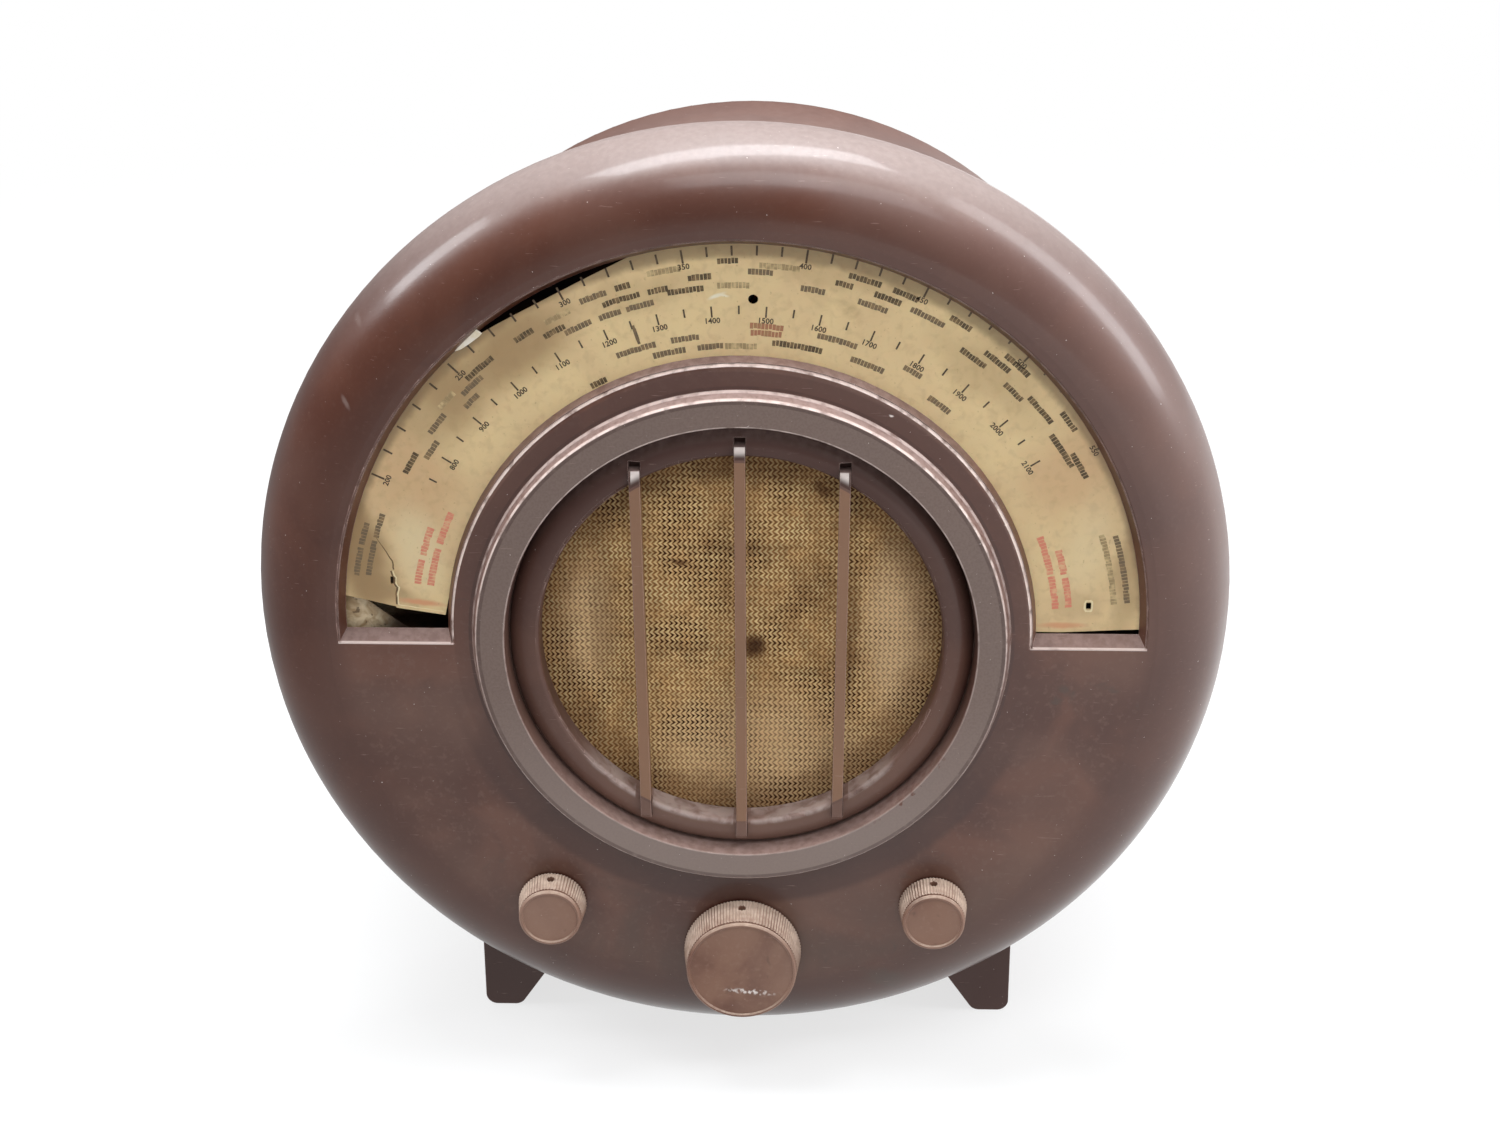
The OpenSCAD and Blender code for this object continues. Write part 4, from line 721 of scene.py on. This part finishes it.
# Rows of bold dashes that stand in for the dial's print, by their ink. Each row has its radius in
# millimetres, and the angle from the top in degrees and the length in millimetres of its dashes
DASHES = {
    "word_ink": (
        (157.4, ((-1.6, 8), (17.6, 13), (23.6, 10.5), (32.3, 9.5), (42.4, 12.5), (53.6, 9.5))),
        (153.4, ((15, 7), (21.5, 11), (39.9, 12.5), (-16.8, 6.2))),
        (151.6, ((-5.7, 9), (-41.4, 14), (-33, 8.6), (49.7, 14), (60.3, 12))),
        (148.8, ((-17.6, 15), (-12, 8), (36.8, 12), (44.9, 9.6), (56.9, 16), (-60.1, 10))),
        (147, ((-8, 14), (-28.8, 9.4))), (125.4, ((10.1, 19.5),)), (121, ((-26.7, 7),)),
    ),
    "thin_ink": (
        (153.2, ((27.8, 14.6), (-21.3, 11), (3, 9.6))),
        (148.6, ((10.8, 9.5), (19.9, 12), (-44.1, 11), (-52.4, 10.2))),
        (144.4, ((-15.2, 11), (-20, 9), (-25.3, 11.5), (-46, 7.6), (-56.5, 9))),
        (128, ((-9.4, 11), (-18.1, 16))), (131.2, ((16.5, 16), (30.3, 8))),
        (126, ((22.8, 13.8), (37.5, 10.5))), (123.6, ((-5.2, 10), (-12.6, 13))),
        (150.7, ((-71.7, 10.9), (-77.2, 15.5))), (154.1, ((75.9, 16.9), (81.5, 13))),
        (155.5, ((-73.6, 9.9), (-78.2, 12.6))),
    ),
    "faded_ink": (
        (155.8, ((5.6, 15.5), (-10.6, 13))), (151.6, ((-27.3, 11), (-48.5, 9))),
        (147.7, ((-0.9, 12.3),)), (123.4, ((0.2, 12.4),)), (148.9, ((78, 31),)),
    ),
    "red_ink": (
        (125.8, ((-68.3, 14.5), (-76.4, 16.6), (73, 17), (80.5, 14.6))),
        (131, ((-71.9, 12.6), (-77.9, 10.9), (75, 10.9), (80.9, 13.2))),
    ),
    "brown_ink": ((131.7, ((4.5, 13),)), (128.9, ((4.5, 12),))),
}

# The sheet's damage, in millimetres from the speaker's axis. Each point of the scrap has its half width too
TEAR = ((-138.6, 27.6), (-137.7, 25), (-137.6, 22.4), (-136.5, 20.6), (-137.1, 17.5), (-137.2, 13.1))
FOOT = ((-137.2, 12.9), (-128, 11.5), (-119.2, 10.2))
CRACK = ((-145, 43.2), (-141.5, 37.3), (-138.7, 32.3), (-138.3, 28.4))
SCRAP = (
    (-109.2, 121.1, 0.4), (-107.6, 122.6, 1.3), (-105.3, 124.6, 1.65), (-102.8, 126.6, 1.75),
    (-100.6, 128.3, 1.7), (-99.2, 129.4, 1.4),
)
# The pointer's glimpse: the radii where each of its lengths starts and ends, and its width
GLIMPSE = ((129.8, 131.4, 1.1), (131.4, 136.2, 1.35), (136.2, 137.6, 1.0))
GLIMPSE_TURN = -17.2
# Length of one block of a dash, with the gap after it
BLOCK = 1.4 * MM
# Angles from the top where the print's counting starts
OUTER_START = -8.9
INNER_START = -0.1
# Degrees by which the shrunken sheet has pulled a left division aside, times the square of its count
PULL = 0.023


def from_axis(x, z, y=0.0):
    """A point of the dial's plane, in millimetres from the speaker's axis."""
    return Vector((AXIS.x + x * MM, y * MM, AXIS.z + z * MM))


def on_dial(turn, radius):
    """A point of the dial's plane, at an angle from the top and a distance from the speaker's axis."""
    return Vector((AXIS.x + radius * math.sin(turn), 0, AXIS.z + radius * math.cos(turn)))


def arc_bar(bm, radius, turn, length, height):
    """A bar along an arc of the dial, centred on turn, seen from the front."""
    ends = (turn - length / radius / 2, turn + length / radius / 2)
    corners = [on_dial(a, radius - height / 2) for a in ends]
    corners += [on_dial(a, radius + height / 2) for a in reversed(ends)]
    bm.faces.new([bm.verts.new(p) for p in corners])


def dashes(bm, chance, radius, turn, length, height):
    """A row of short blocks along an arc."""
    count = max(3, round(length / BLOCK))
    for i in range(count):
        a = turn + ((i + 0.5) / count - 0.5) * length / radius
        tall = height * chance.uniform(0.82, 1.0)
        lift = (height - tall) * chance.uniform(-0.5, 0.5)
        arc_bar(bm, radius + lift, a, length / count * chance.uniform(0.8, 0.94), tall)


def ribbon(points, widths):
    """A flat strip along points of the dial's plane, in millimetres from the speaker's axis."""
    bm = bmesh.new()
    line = [from_axis(x, z) for x, z in points]
    pairs = []
    for i, p in enumerate(line):
        way = (line[min(i + 1, len(line) - 1)] - line[max(i - 1, 0)]).normalized()
        side = Vector((-way.z, 0, way.x)) * widths[i] * MM / 2
        pairs.append((bm.verts.new(p - side), bm.verts.new(p + side)))
    for (a, b), (c, d) in zip(pairs, pairs[1:]):
        bm.faces.new((a, c, d, b))
    return bm


def roughen(points, chance, steps, shift):
    """More points along a line, pushed about as a tear leaves them."""
    out = []
    for (x, z), (x2, z2) in zip(points, points[1:]):
        for i in range(steps):
            t = i / steps
            out.append((
                x + (x2 - x) * t + chance.uniform(-shift, shift),
                z + (z2 - z) * t + chance.uniform(-shift, shift),
            ))
    return [*out, points[-1]]


def laid(name, bm, gap, material, body=ROOT):
    """Turns a drawing into a piece that lies in front of the dial's sheet."""
    for face in bm.faces:
        face.normal_update()
        if face.normal.y > 0:
            face.normal_flip()
    mesh = bpy.data.meshes.new(name)
    bm.to_mesh(mesh)
    bm.free()
    mesh.transform(Matrix.Translation((0, SCALE_FACE - gap, 0)))
    new_piece(name, mesh, body, material)


def radial_mark(bm, turn, outer, length, width, shift=0.0):
    """A division that points at the speaker's axis, or at a centre beside it."""
    way = Vector((math.sin(turn), 0, math.cos(turn)))
    side = Vector((way.z, 0, -way.x)) * width / 2
    centre = Vector((AXIS.x + shift, 0, AXIS.z))
    low, high = centre + way * (outer - length), centre + way * outer
    corners = (low - side, low + side, high + side, high - side)
    bm.faces.new([bm.verts.new(p) for p in corners])


def number(bm, text, height, turn, radius, shift):
    """A number on the dial, standing on its radius."""
    curve = bpy.data.curves.new("number", "FONT")
    curve.body = text
    # The font's numbers are shorter than its size, and the offset makes them bolder
    curve.size = height * 1.4
    curve.offset = height * 0.035
    curve.align_x = curve.align_y = "CENTER"
    curve.resolution_u = 2
    writer = bpy.data.objects.new("number", curve)
    mesh = bpy.data.meshes.new_from_object(writer)
    bpy.data.objects.remove(writer)
    bpy.data.curves.remove(curve)
    stand = Matrix.Rotation(math.pi / 2, 4, "X")
    lean = Matrix.Rotation(turn, 4, "Y")
    centre = Matrix.Translation((AXIS.x + shift, 0, AXIS.z))
    mesh.transform(centre @ lean @ Matrix.Translation((0, 0, radius)) @ stand)
    bm.from_mesh(mesh)
    bpy.data.meshes.remove(mesh)


class DialSheet(Operator):
    """Finishes the shrunken celluloid sheet of the dial"""

    bl_idname = "radio.dial_sheet"
    bl_label = "Dial Sheet"

    def execute(self, context):
        sheet = aged_celluloid("celluloid sheet, aged", context.scene.radio_dial_colours)
        wear(sheet, "dial_scale")
        return {"FINISHED"}


class DialPrint(Operator):
    """Prints the divisions, plain numbers and dashes on the dial"""

    bl_idname = "radio.dial_print"
    bl_label = "Dial Print"

    def execute(self, context):
        d = context.scene.radio_dial
        c = context.scene.radio_dial_colours
        chance = random.Random(d.seed)
        marks = bmesh.new()
        pulled = {i: PULL * i * i if i < 0 else 0 for i in range(-15, 22)}
        step = math.degrees(d.outer_step)
        # Each division: its angle from the top, whether it is long, and the number that a long one gets
        outer = [(OUTER_START + i * step - pulled[i], i % 5 == 0, 350 + i * 10) for i in pulled]
        step = math.degrees(d.inner_step)
        inner = [(INNER_START + i * step, i % 2 != 0, 1450 + i * 50) for i in range(-14, 14)]
        for row, radius, short, long, width, shift in (
            (outer, d.outer_radius, d.outer_short, d.outer_long, d.mark_width, d.print_shift),
            (inner, d.inner_radius, d.inner_short, d.inner_long, d.mark_width * 0.85, 0.0),
        ):
            for degrees, numbered, value in row:
                turn = math.radians(degrees)
                radial_mark(marks, turn, radius, long if numbered else short, width, shift)
                if numbered:
                    low = radius - long - d.number_gap
                    number(marks, str(value), d.number_height, turn, low, shift)
        ink = printed_ink("screen ink, brown black", c.ink, c.thin_ink)
        laid("dial_marks", marks, d.print_gap, ink)
        for colour, rows in DASHES.items():
            bm = bmesh.new()
            tall = d.red_height if colour == "red_ink" else d.dash_height
            for radius, row in rows:
                for turn, length in row:
                    dashes(bm, chance, radius * MM, math.radians(turn), length * MM, tall)
            worn = c.yellowed if colour in ("faded_ink", "red_ink") else c.soiled
            ink = printed_ink("screen ink, " + colour.split("_")[0], getattr(c, colour), worn)
            laid("dial_" + colour.replace("ink", "dashes"), bm, d.print_gap, ink)
        return {"FINISHED"}


class DialDamage(Operator):
    """Adds the torn edge, the crack and the loose scrap of the dial's sheet"""

    bl_idname = "radio.dial_damage"
    bl_label = "Dial Damage"

    def execute(self, context):
        d = context.scene.radio_dial
        c = context.scene.radio_dial_colours
        chance = random.Random(d.seed + 1)
        torn = printed_ink("celluloid, freshly torn", c.torn, c.yellowed)
        # The crack's dirt; the same dark ink paints the shadow beside the torn edge
        dirt = printed_ink("dirt in a crack, and painted shadow", c.crack, c.soiled)
        near = d.print_gap * 1.5
        tear = roughen(TEAR, chance, 3, 0.22)
        wide = [chance.uniform(0.3, 0.75) for point in tear]
        laid("torn_edge", ribbon(tear, wide), 0.16 * MM, torn)
        foot = roughen(FOOT, chance, 5, 0.1)
        wide = [chance.uniform(0.25, 0.5) for point in foot]
        laid("torn_foot", ribbon(foot, wide), 0.1 * MM, torn)
        crack = roughen(CRACK, chance, 4, 0.16)
        wide = [0.2 + 0.5 * i / len(crack) for i in range(len(crack))]
        laid("sheet_crack", ribbon(crack, wide), near, dirt)
        # Painted shadow: a dark strip beside the torn edge
        shadow = [(x - 0.75, z) for x, z in tear]
        laid("torn_shadow", ribbon(shadow, [0.7] * len(shadow)), near, dirt)
        laid("slot_edge", self.halo(138.1, 15.0, 1.1, 1.9, chance), near, torn)
        self.scrap(c)
        # Painted shade: the pointer behind the translucent sheet, drawn as a dark bar on the sheet's face
        # that rides on the pointer
        pointer = printed_ink("pointer, seen through celluloid", c.pointer, c.soiled)
        bm = bmesh.new()
        for low, high, width in GLIMPSE:
            radial_mark(bm, math.radians(GLIMPSE_TURN), high * MM, (high - low) * MM, width * MM)
        laid("pointer_glimpse", bm, d.print_gap * 2.4, pointer, "pointer")
        return {"FINISHED"}

    def halo(self, x, z, wide, high, chance):
        """A pale, chipped ring round the sheet's slot."""
        bm = bmesh.new()
        rings = []
        for i in range(24):
            a = 2 * math.pi * i / 24
            rim = []
            for grow in (0.0, chance.uniform(0.6, 0.95)):
                # The power makes the ring squarer than an oval
                side = math.copysign(abs(math.cos(a)) ** 0.6, math.cos(a)) * (wide + grow)
                up = math.copysign(abs(math.sin(a)) ** 0.6, math.sin(a)) * (high + grow)
                rim.append(bm.verts.new(from_axis(x + side, z + up)))
            rings.append(rim)
        for i, (a, b) in enumerate(rings):
            c, d = rings[(i + 1) % len(rings)]
            bm.faces.new((a, c, d, b))
        return bm

    def scrap(self, c):
        """A curled scrap of pale celluloid, caught between the sheet and the case."""
        paper = printed_ink("celluloid scrap, bleached", c.scrap, c.torn)
        bm = bmesh.new()
        top, low = [], []
        for i, (x, z, half) in enumerate(SCRAP):
            curl = 0.3 + 0.12 * i
            for row, side, lift in ((top, half, curl * 3.2), (low, -half, curl)):
                row.append(bm.verts.new(from_axis(x - side * 0.62, z + side * 0.78, -lift)))
        for i in range(len(top) - 1):
            bm.faces.new((low[i], low[i + 1], top[i + 1], top[i]))
        laid("sheet_scrap", bm, 0.2 * MM, paper)


class SpeakerCloth(Operator):
    """Replaces the plain disc by a slack woven speaker cloth"""

    bl_idname = "radio.speaker_cloth"
    bl_label = "Speaker Cloth"

    def execute(self, context):
        sizes = context.scene.radio_cloth
        weave = speaker_weave("rayon speaker cloth, woven", context.scene.radio_cloth_colours, sizes)
        radius = (CLOTH_HIGH.x - CLOTH_LOW.x) / 2
        bm = bmesh.new()
        rings, sides = 30, 96
        rows = []
        for i in range(1, rings + 1):
            r = radius * i / rings
            row = []
            for k in range(sides):
                a = 2 * math.pi * k / sides
                x, z = r * math.cos(a), r * math.sin(a)
                slack = (1 - (r / radius) ** 2) * sizes.sag
                wave = noise.noise(Vector((x, 0, z)) / (30 * MM)) * sizes.sag * 0.6 * (1 - r / radius)
                row.append(bm.verts.new((AXIS.x + x, AXIS.y + slack + wave, AXIS.z + z)))
            rows.append(row)
        centre = bm.verts.new((AXIS.x, AXIS.y + sizes.sag, AXIS.z))
        for k in range(sides):
            n = (k + 1) % sides
            bm.faces.new((centre, rows[0][n], rows[0][k]))
            for low, high in zip(rows, rows[1:]):
                bm.faces.new((low[k], low[n], high[n], high[k]))
        bmesh.ops.recalc_face_normals(bm, faces=bm.faces)
        mesh = bpy.data.meshes.new("speaker_cloth")
        bm.to_mesh(mesh)
        bm.free()
        for face in mesh.polygons:
            face.use_smooth = True
        cloth = new_piece("speaker_cloth", mesh, ROOT, weave)
        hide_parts("grille_cloth")
        return {"FINISHED"}


class Metalwork(Operator):
    """Finishes the plated frames, screws, spindles and cans"""

    bl_idname = "radio.metalwork"
    bl_label = "Metalwork"

    def execute(self, context):
        w = context.scene.radio_works
        wear(
            plated_metal("zinc plated steel", w.zinc, "5f5b55", 0.42),
            "ring_keepers", "tuning_grub_screw", "tuning_spindle", "spindle_bracket", "gang_frame",
            "volume_grub_screw", "volume_spindle", "volume_control", "wave_grub_screw", "wave_spindle",
            "speaker_screws", "speaker_magnet", "chassis_bolts", "cover_screws", "light_box_screws",
        )
        wear(plated_metal("cadmium plated sheet steel", w.cadmium, "6a6456", 0.46, (1, 12, 1)), "chassis")
        wear(grimy_tin("tinned sheet steel, rusty, painted shade inside", w), "light_box")
        wear(
            plated_metal("brass, turned", w.brass, "5e4526", 0.34, spots=0.6),
            "baffle_screws", "lamp_holders", "pointer_ring", "keeper_screws", "cord_pulley",
            "spindle_bush", "control_nuts", "sockets",
        )
        wear(
            plated_metal("sheet aluminium", w.aluminium, "8b8c8c", 0.36, (1, 1, 10), spots=0.4),
            "gang_drum", "gang_stators", "gang_rotor", "smoothing_capacitors", "coil_cans", "valve_screens",
        )
        enamel = plated_metal("black stoving enamel", w.enamel, "39342e", 0.32, metallic=0.0)
        wear(enamel, "pointer", "speaker_frame")
        return {"FINISHED"}


class BoardsAndPaper(Operator):
    """Finishes the plywood, fibre, paper, cord and rubber parts"""

    bl_idname = "radio.boards_and_paper"
    bl_label = "Boards and Paper"

    def execute(self, context):
        w = context.scene.radio_works
        for parts, *look in (
            (["baffle_board"], "birch plywood, raw", w.plywood, "7d5f3c", 1.2, 0.75, (0.06, 1, 1)),
            (["rear_cover", "wave_switch", "socket_strip"], "pressed fibre board", w.fibre, "523b25",
             1.6, 0.7, (1, 1, 1), 0.06),
            (["speaker_cone"], "pressed paper pulp", w.paper, "5d5144", 0.9, 0.85, (1, 1, 1), 0.08),
            (["transformer_winding"], "waxed paper over wire", w.wax, "5c431f", 2.5, 0.45, (1, 0.1, 1)),
            (["pointer_cord", "gang_cord"], "braided drive cord", "2c2822", "4c4335", 0.7, 0.8, (3, 1, 1)),
            (["cord_grommet"], "moulded rubber, perished", "1d1b19", "3a3632", 1.0, 0.72),
            (["valve_holders", "valve_bases"], "black phenolic, moulded", "201d1b", "38322c", 1.5, 0.38,
             (1, 1, 1), 0.03),
            (["transformer_core", "output_transformer"], "varnished laminations", "2b2926", "4a443c",
             0.5, 0.5, (0.05, 2, 0.05), 0.12),
        ):
            wear(matt_stuff(*look), *parts)
        return {"FINISHED"}


class Glassware(Operator):
    """Finishes the valves' and lamps' glass"""

    bl_idname = "radio.glassware"
    bl_label = "Glassware"

    def execute(self, context):
        wear(bulb_glass("blown glass"), "dial_lamps", "valve_bulbs")
        return {"FINISHED"}


# Studio


class Studio(Operator):
    """Sets up the floor, the lamps and the camera"""

    bl_idname = "radio.studio"
    bl_label = "Studio"

    def execute(self, context):
        s = context.scene.radio_studio
        self.floor()
        self.world(context.scene, s)
        self.lamps(s)
        self.camera(context.scene, s)
        context.scene.view_settings.view_transform = "Standard"
        return {"FINISHED"}

    def floor(self):
        """White paper, matt and faintly uneven, that fades to plain white away from the radio."""
        mesh = bpy.data.meshes.new("floor")
        corners = [(FLOOR * x, FLOOR * y, 0) for x, y in ((-1, -1), (1, -1), (1, 1), (-1, 1))]
        mesh.from_pydata(corners, [], [(0, 1, 2, 3)])
        floor = bpy.data.objects.new("floor", mesh)
        bpy.context.scene.collection.objects.link(floor)
        material, place = blank("white paper floor")
        colour = paint("ececec", ("f2f2f2", grain(place, 400, 0.2, 0.8, 2)))
        # Light that the floor throws back at the object is that of a grey card
        path = add(place, "LightPath")
        colour = paint(colour, ("a3a3a3", path.outputs["Is Diffuse Ray"]))
        surface = add(place, "BsdfPrincipled", {"Base Color": colour, "Roughness": 0.9})
        gloss, glass = path.outputs["Is Glossy Ray"], path.outputs["Is Transmission Ray"]
        mirrored = reckon("MAXIMUM", gloss, glass)
        # What gloss shows of the floor is darker to the left, as beside a window on the right
        side = ramp(add(place, "SeparateXYZ", {"Vector": place}).outputs["X"], 0.4, 1.9, -0.5, 0.9)
        strength = add(place, "Mix", {"Factor": mirrored, "A": 1.0, "B": side})
        white = add(place, "Emission", {"Color": (1, 1, 1, 1), "Strength": strength})
        # The camera sees its shadow near the radio, and plain white farther off
        far = add(place, "VectorMath", {0: place}, operation="LENGTH").outputs["Value"]
        plain = times(path.outputs["Is Camera Ray"], ramp(far, 0.72, 1.0, 0.45, 1.5))
        seen = reckon("MAXIMUM", plain, mirrored)
        mixed = add(place, "MixShader", {0: seen, 1: surface.outputs[0], 2: white.outputs[0]})
        add(place, "OutputMaterial", {"Surface": mixed.outputs[0]})
        mesh.materials.append(material)

    def world(self, scene, s):
        """Plain light all round, white to the camera, and brighter on the right where gloss shows it."""
        world = bpy.data.worlds.new("studio")
        scene.world = world
        world.use_nodes = True
        tree = world.node_tree
        tree.nodes.clear()
        path = add(tree, "LightPath")
        way = add(tree, "SeparateXYZ", {"Vector": add(tree, "TexCoord").outputs["Generated"]})
        side = ramp(way.outputs["X"], 0.22, 2.2, 0.1, 1)
        strength = add(tree, "Mix", {"Factor": path.outputs["Is Glossy Ray"], "A": s.sky, "B": side})
        strength = add(tree, "Mix", {"Factor": path.outputs["Is Camera Ray"], "A": strength, "B": 1.0})
        sky = add(tree, "Background", {"Color": (1, 1, 1, 1), "Strength": strength})
        add(tree, "OutputWorld", {"Surface": sky.outputs[0]})

    def lamps(self, s):
        """Soft lamps, each with its place, width and height in metres and its power in watts."""
        target = Vector((0, 0, 0.2))
        for name, place, width, height, power in (
            ("overhead", (-0.05, 0.1, 1.75), 1.4, 0.4, 35),
            ("front", (0.3, -1.1, 1.9), 1.5, 0.6, 13),
            ("left window", (-1.45, 0.0, 1.3), 0.45, 0.6, 13),
            ("right window", (1.36, -0.08, 1.15), 0.5, 1.4, 17),
        ):
            data = bpy.data.lights.new(name, "AREA")
            data.shape = "RECTANGLE"
            data.size = width
            data.size_y = height
            data.energy = power * s.lamp
            data.color = (0.95, 0.975, 1.0)
            lamp = bpy.data.objects.new(name, data)
            lamp.location = place
            lamp.rotation_euler = (target - Vector(place)).to_track_quat("-Z", "Y").to_euler()
            bpy.context.scene.collection.objects.link(lamp)

    def camera(self, scene, s):
        aim = Matrix.Rotation(-s.yaw, 4, "Z") @ Matrix.Rotation(math.pi / 2 - s.pitch, 4, "X")
        data = bpy.data.cameras.new("camera")
        data.lens = s.lens
        data.sensor_width = 36
        camera = bpy.data.objects.new("camera", data)
        camera.matrix_world = Matrix.Translation(s.camera) @ aim @ Matrix.Rotation(s.roll, 4, "Z")
        scene.collection.objects.link(camera)
        scene.camera = camera


STEPS = (
    MouldedCase, Knobs, DialSheet, DialPrint, DialDamage, SpeakerCloth, Metalwork, BoardsAndPaper,
    Glassware, Studio,
)


class RadioPanel(Panel):
    """Lists the radio's pieces, sizes and colours"""

    bl_idname = "VIEW3D_PT_radio"
    bl_label = "Round Radio"
    bl_space_type = "VIEW_3D"
    bl_region_type = "UI"
    bl_category = "Radio"

    def draw(self, context):
        for step in STEPS:
            self.layout.operator(step.bl_idname)
        for name, group in GROUPS.items():
            part = self.layout.box()
            part.label(text=group.__name__)
            for key in group.__annotations__:
                label = key.replace("_", " ").capitalize()
                part.prop(getattr(context.scene, name), key, text=label)


def register():
    for group in GROUPS.values():
        bpy.utils.register_class(group)
    for name, group in GROUPS.items():
        setattr(bpy.types.Scene, name, PointerProperty(type=group))
    for step in STEPS:
        bpy.utils.register_class(step)
    bpy.utils.register_class(RadioPanel)


def unregister():
    bpy.utils.unregister_class(RadioPanel)
    for step in reversed(STEPS):
        bpy.utils.unregister_class(step)
    for name, group in GROUPS.items():
        delattr(bpy.types.Scene, name)
        bpy.utils.unregister_class(group)


def main():
    register()
    for step in STEPS:
        family, name = step.bl_idname.split(".")
        getattr(getattr(bpy.ops, family), name)()


if __name__ == "__main__":
    main()
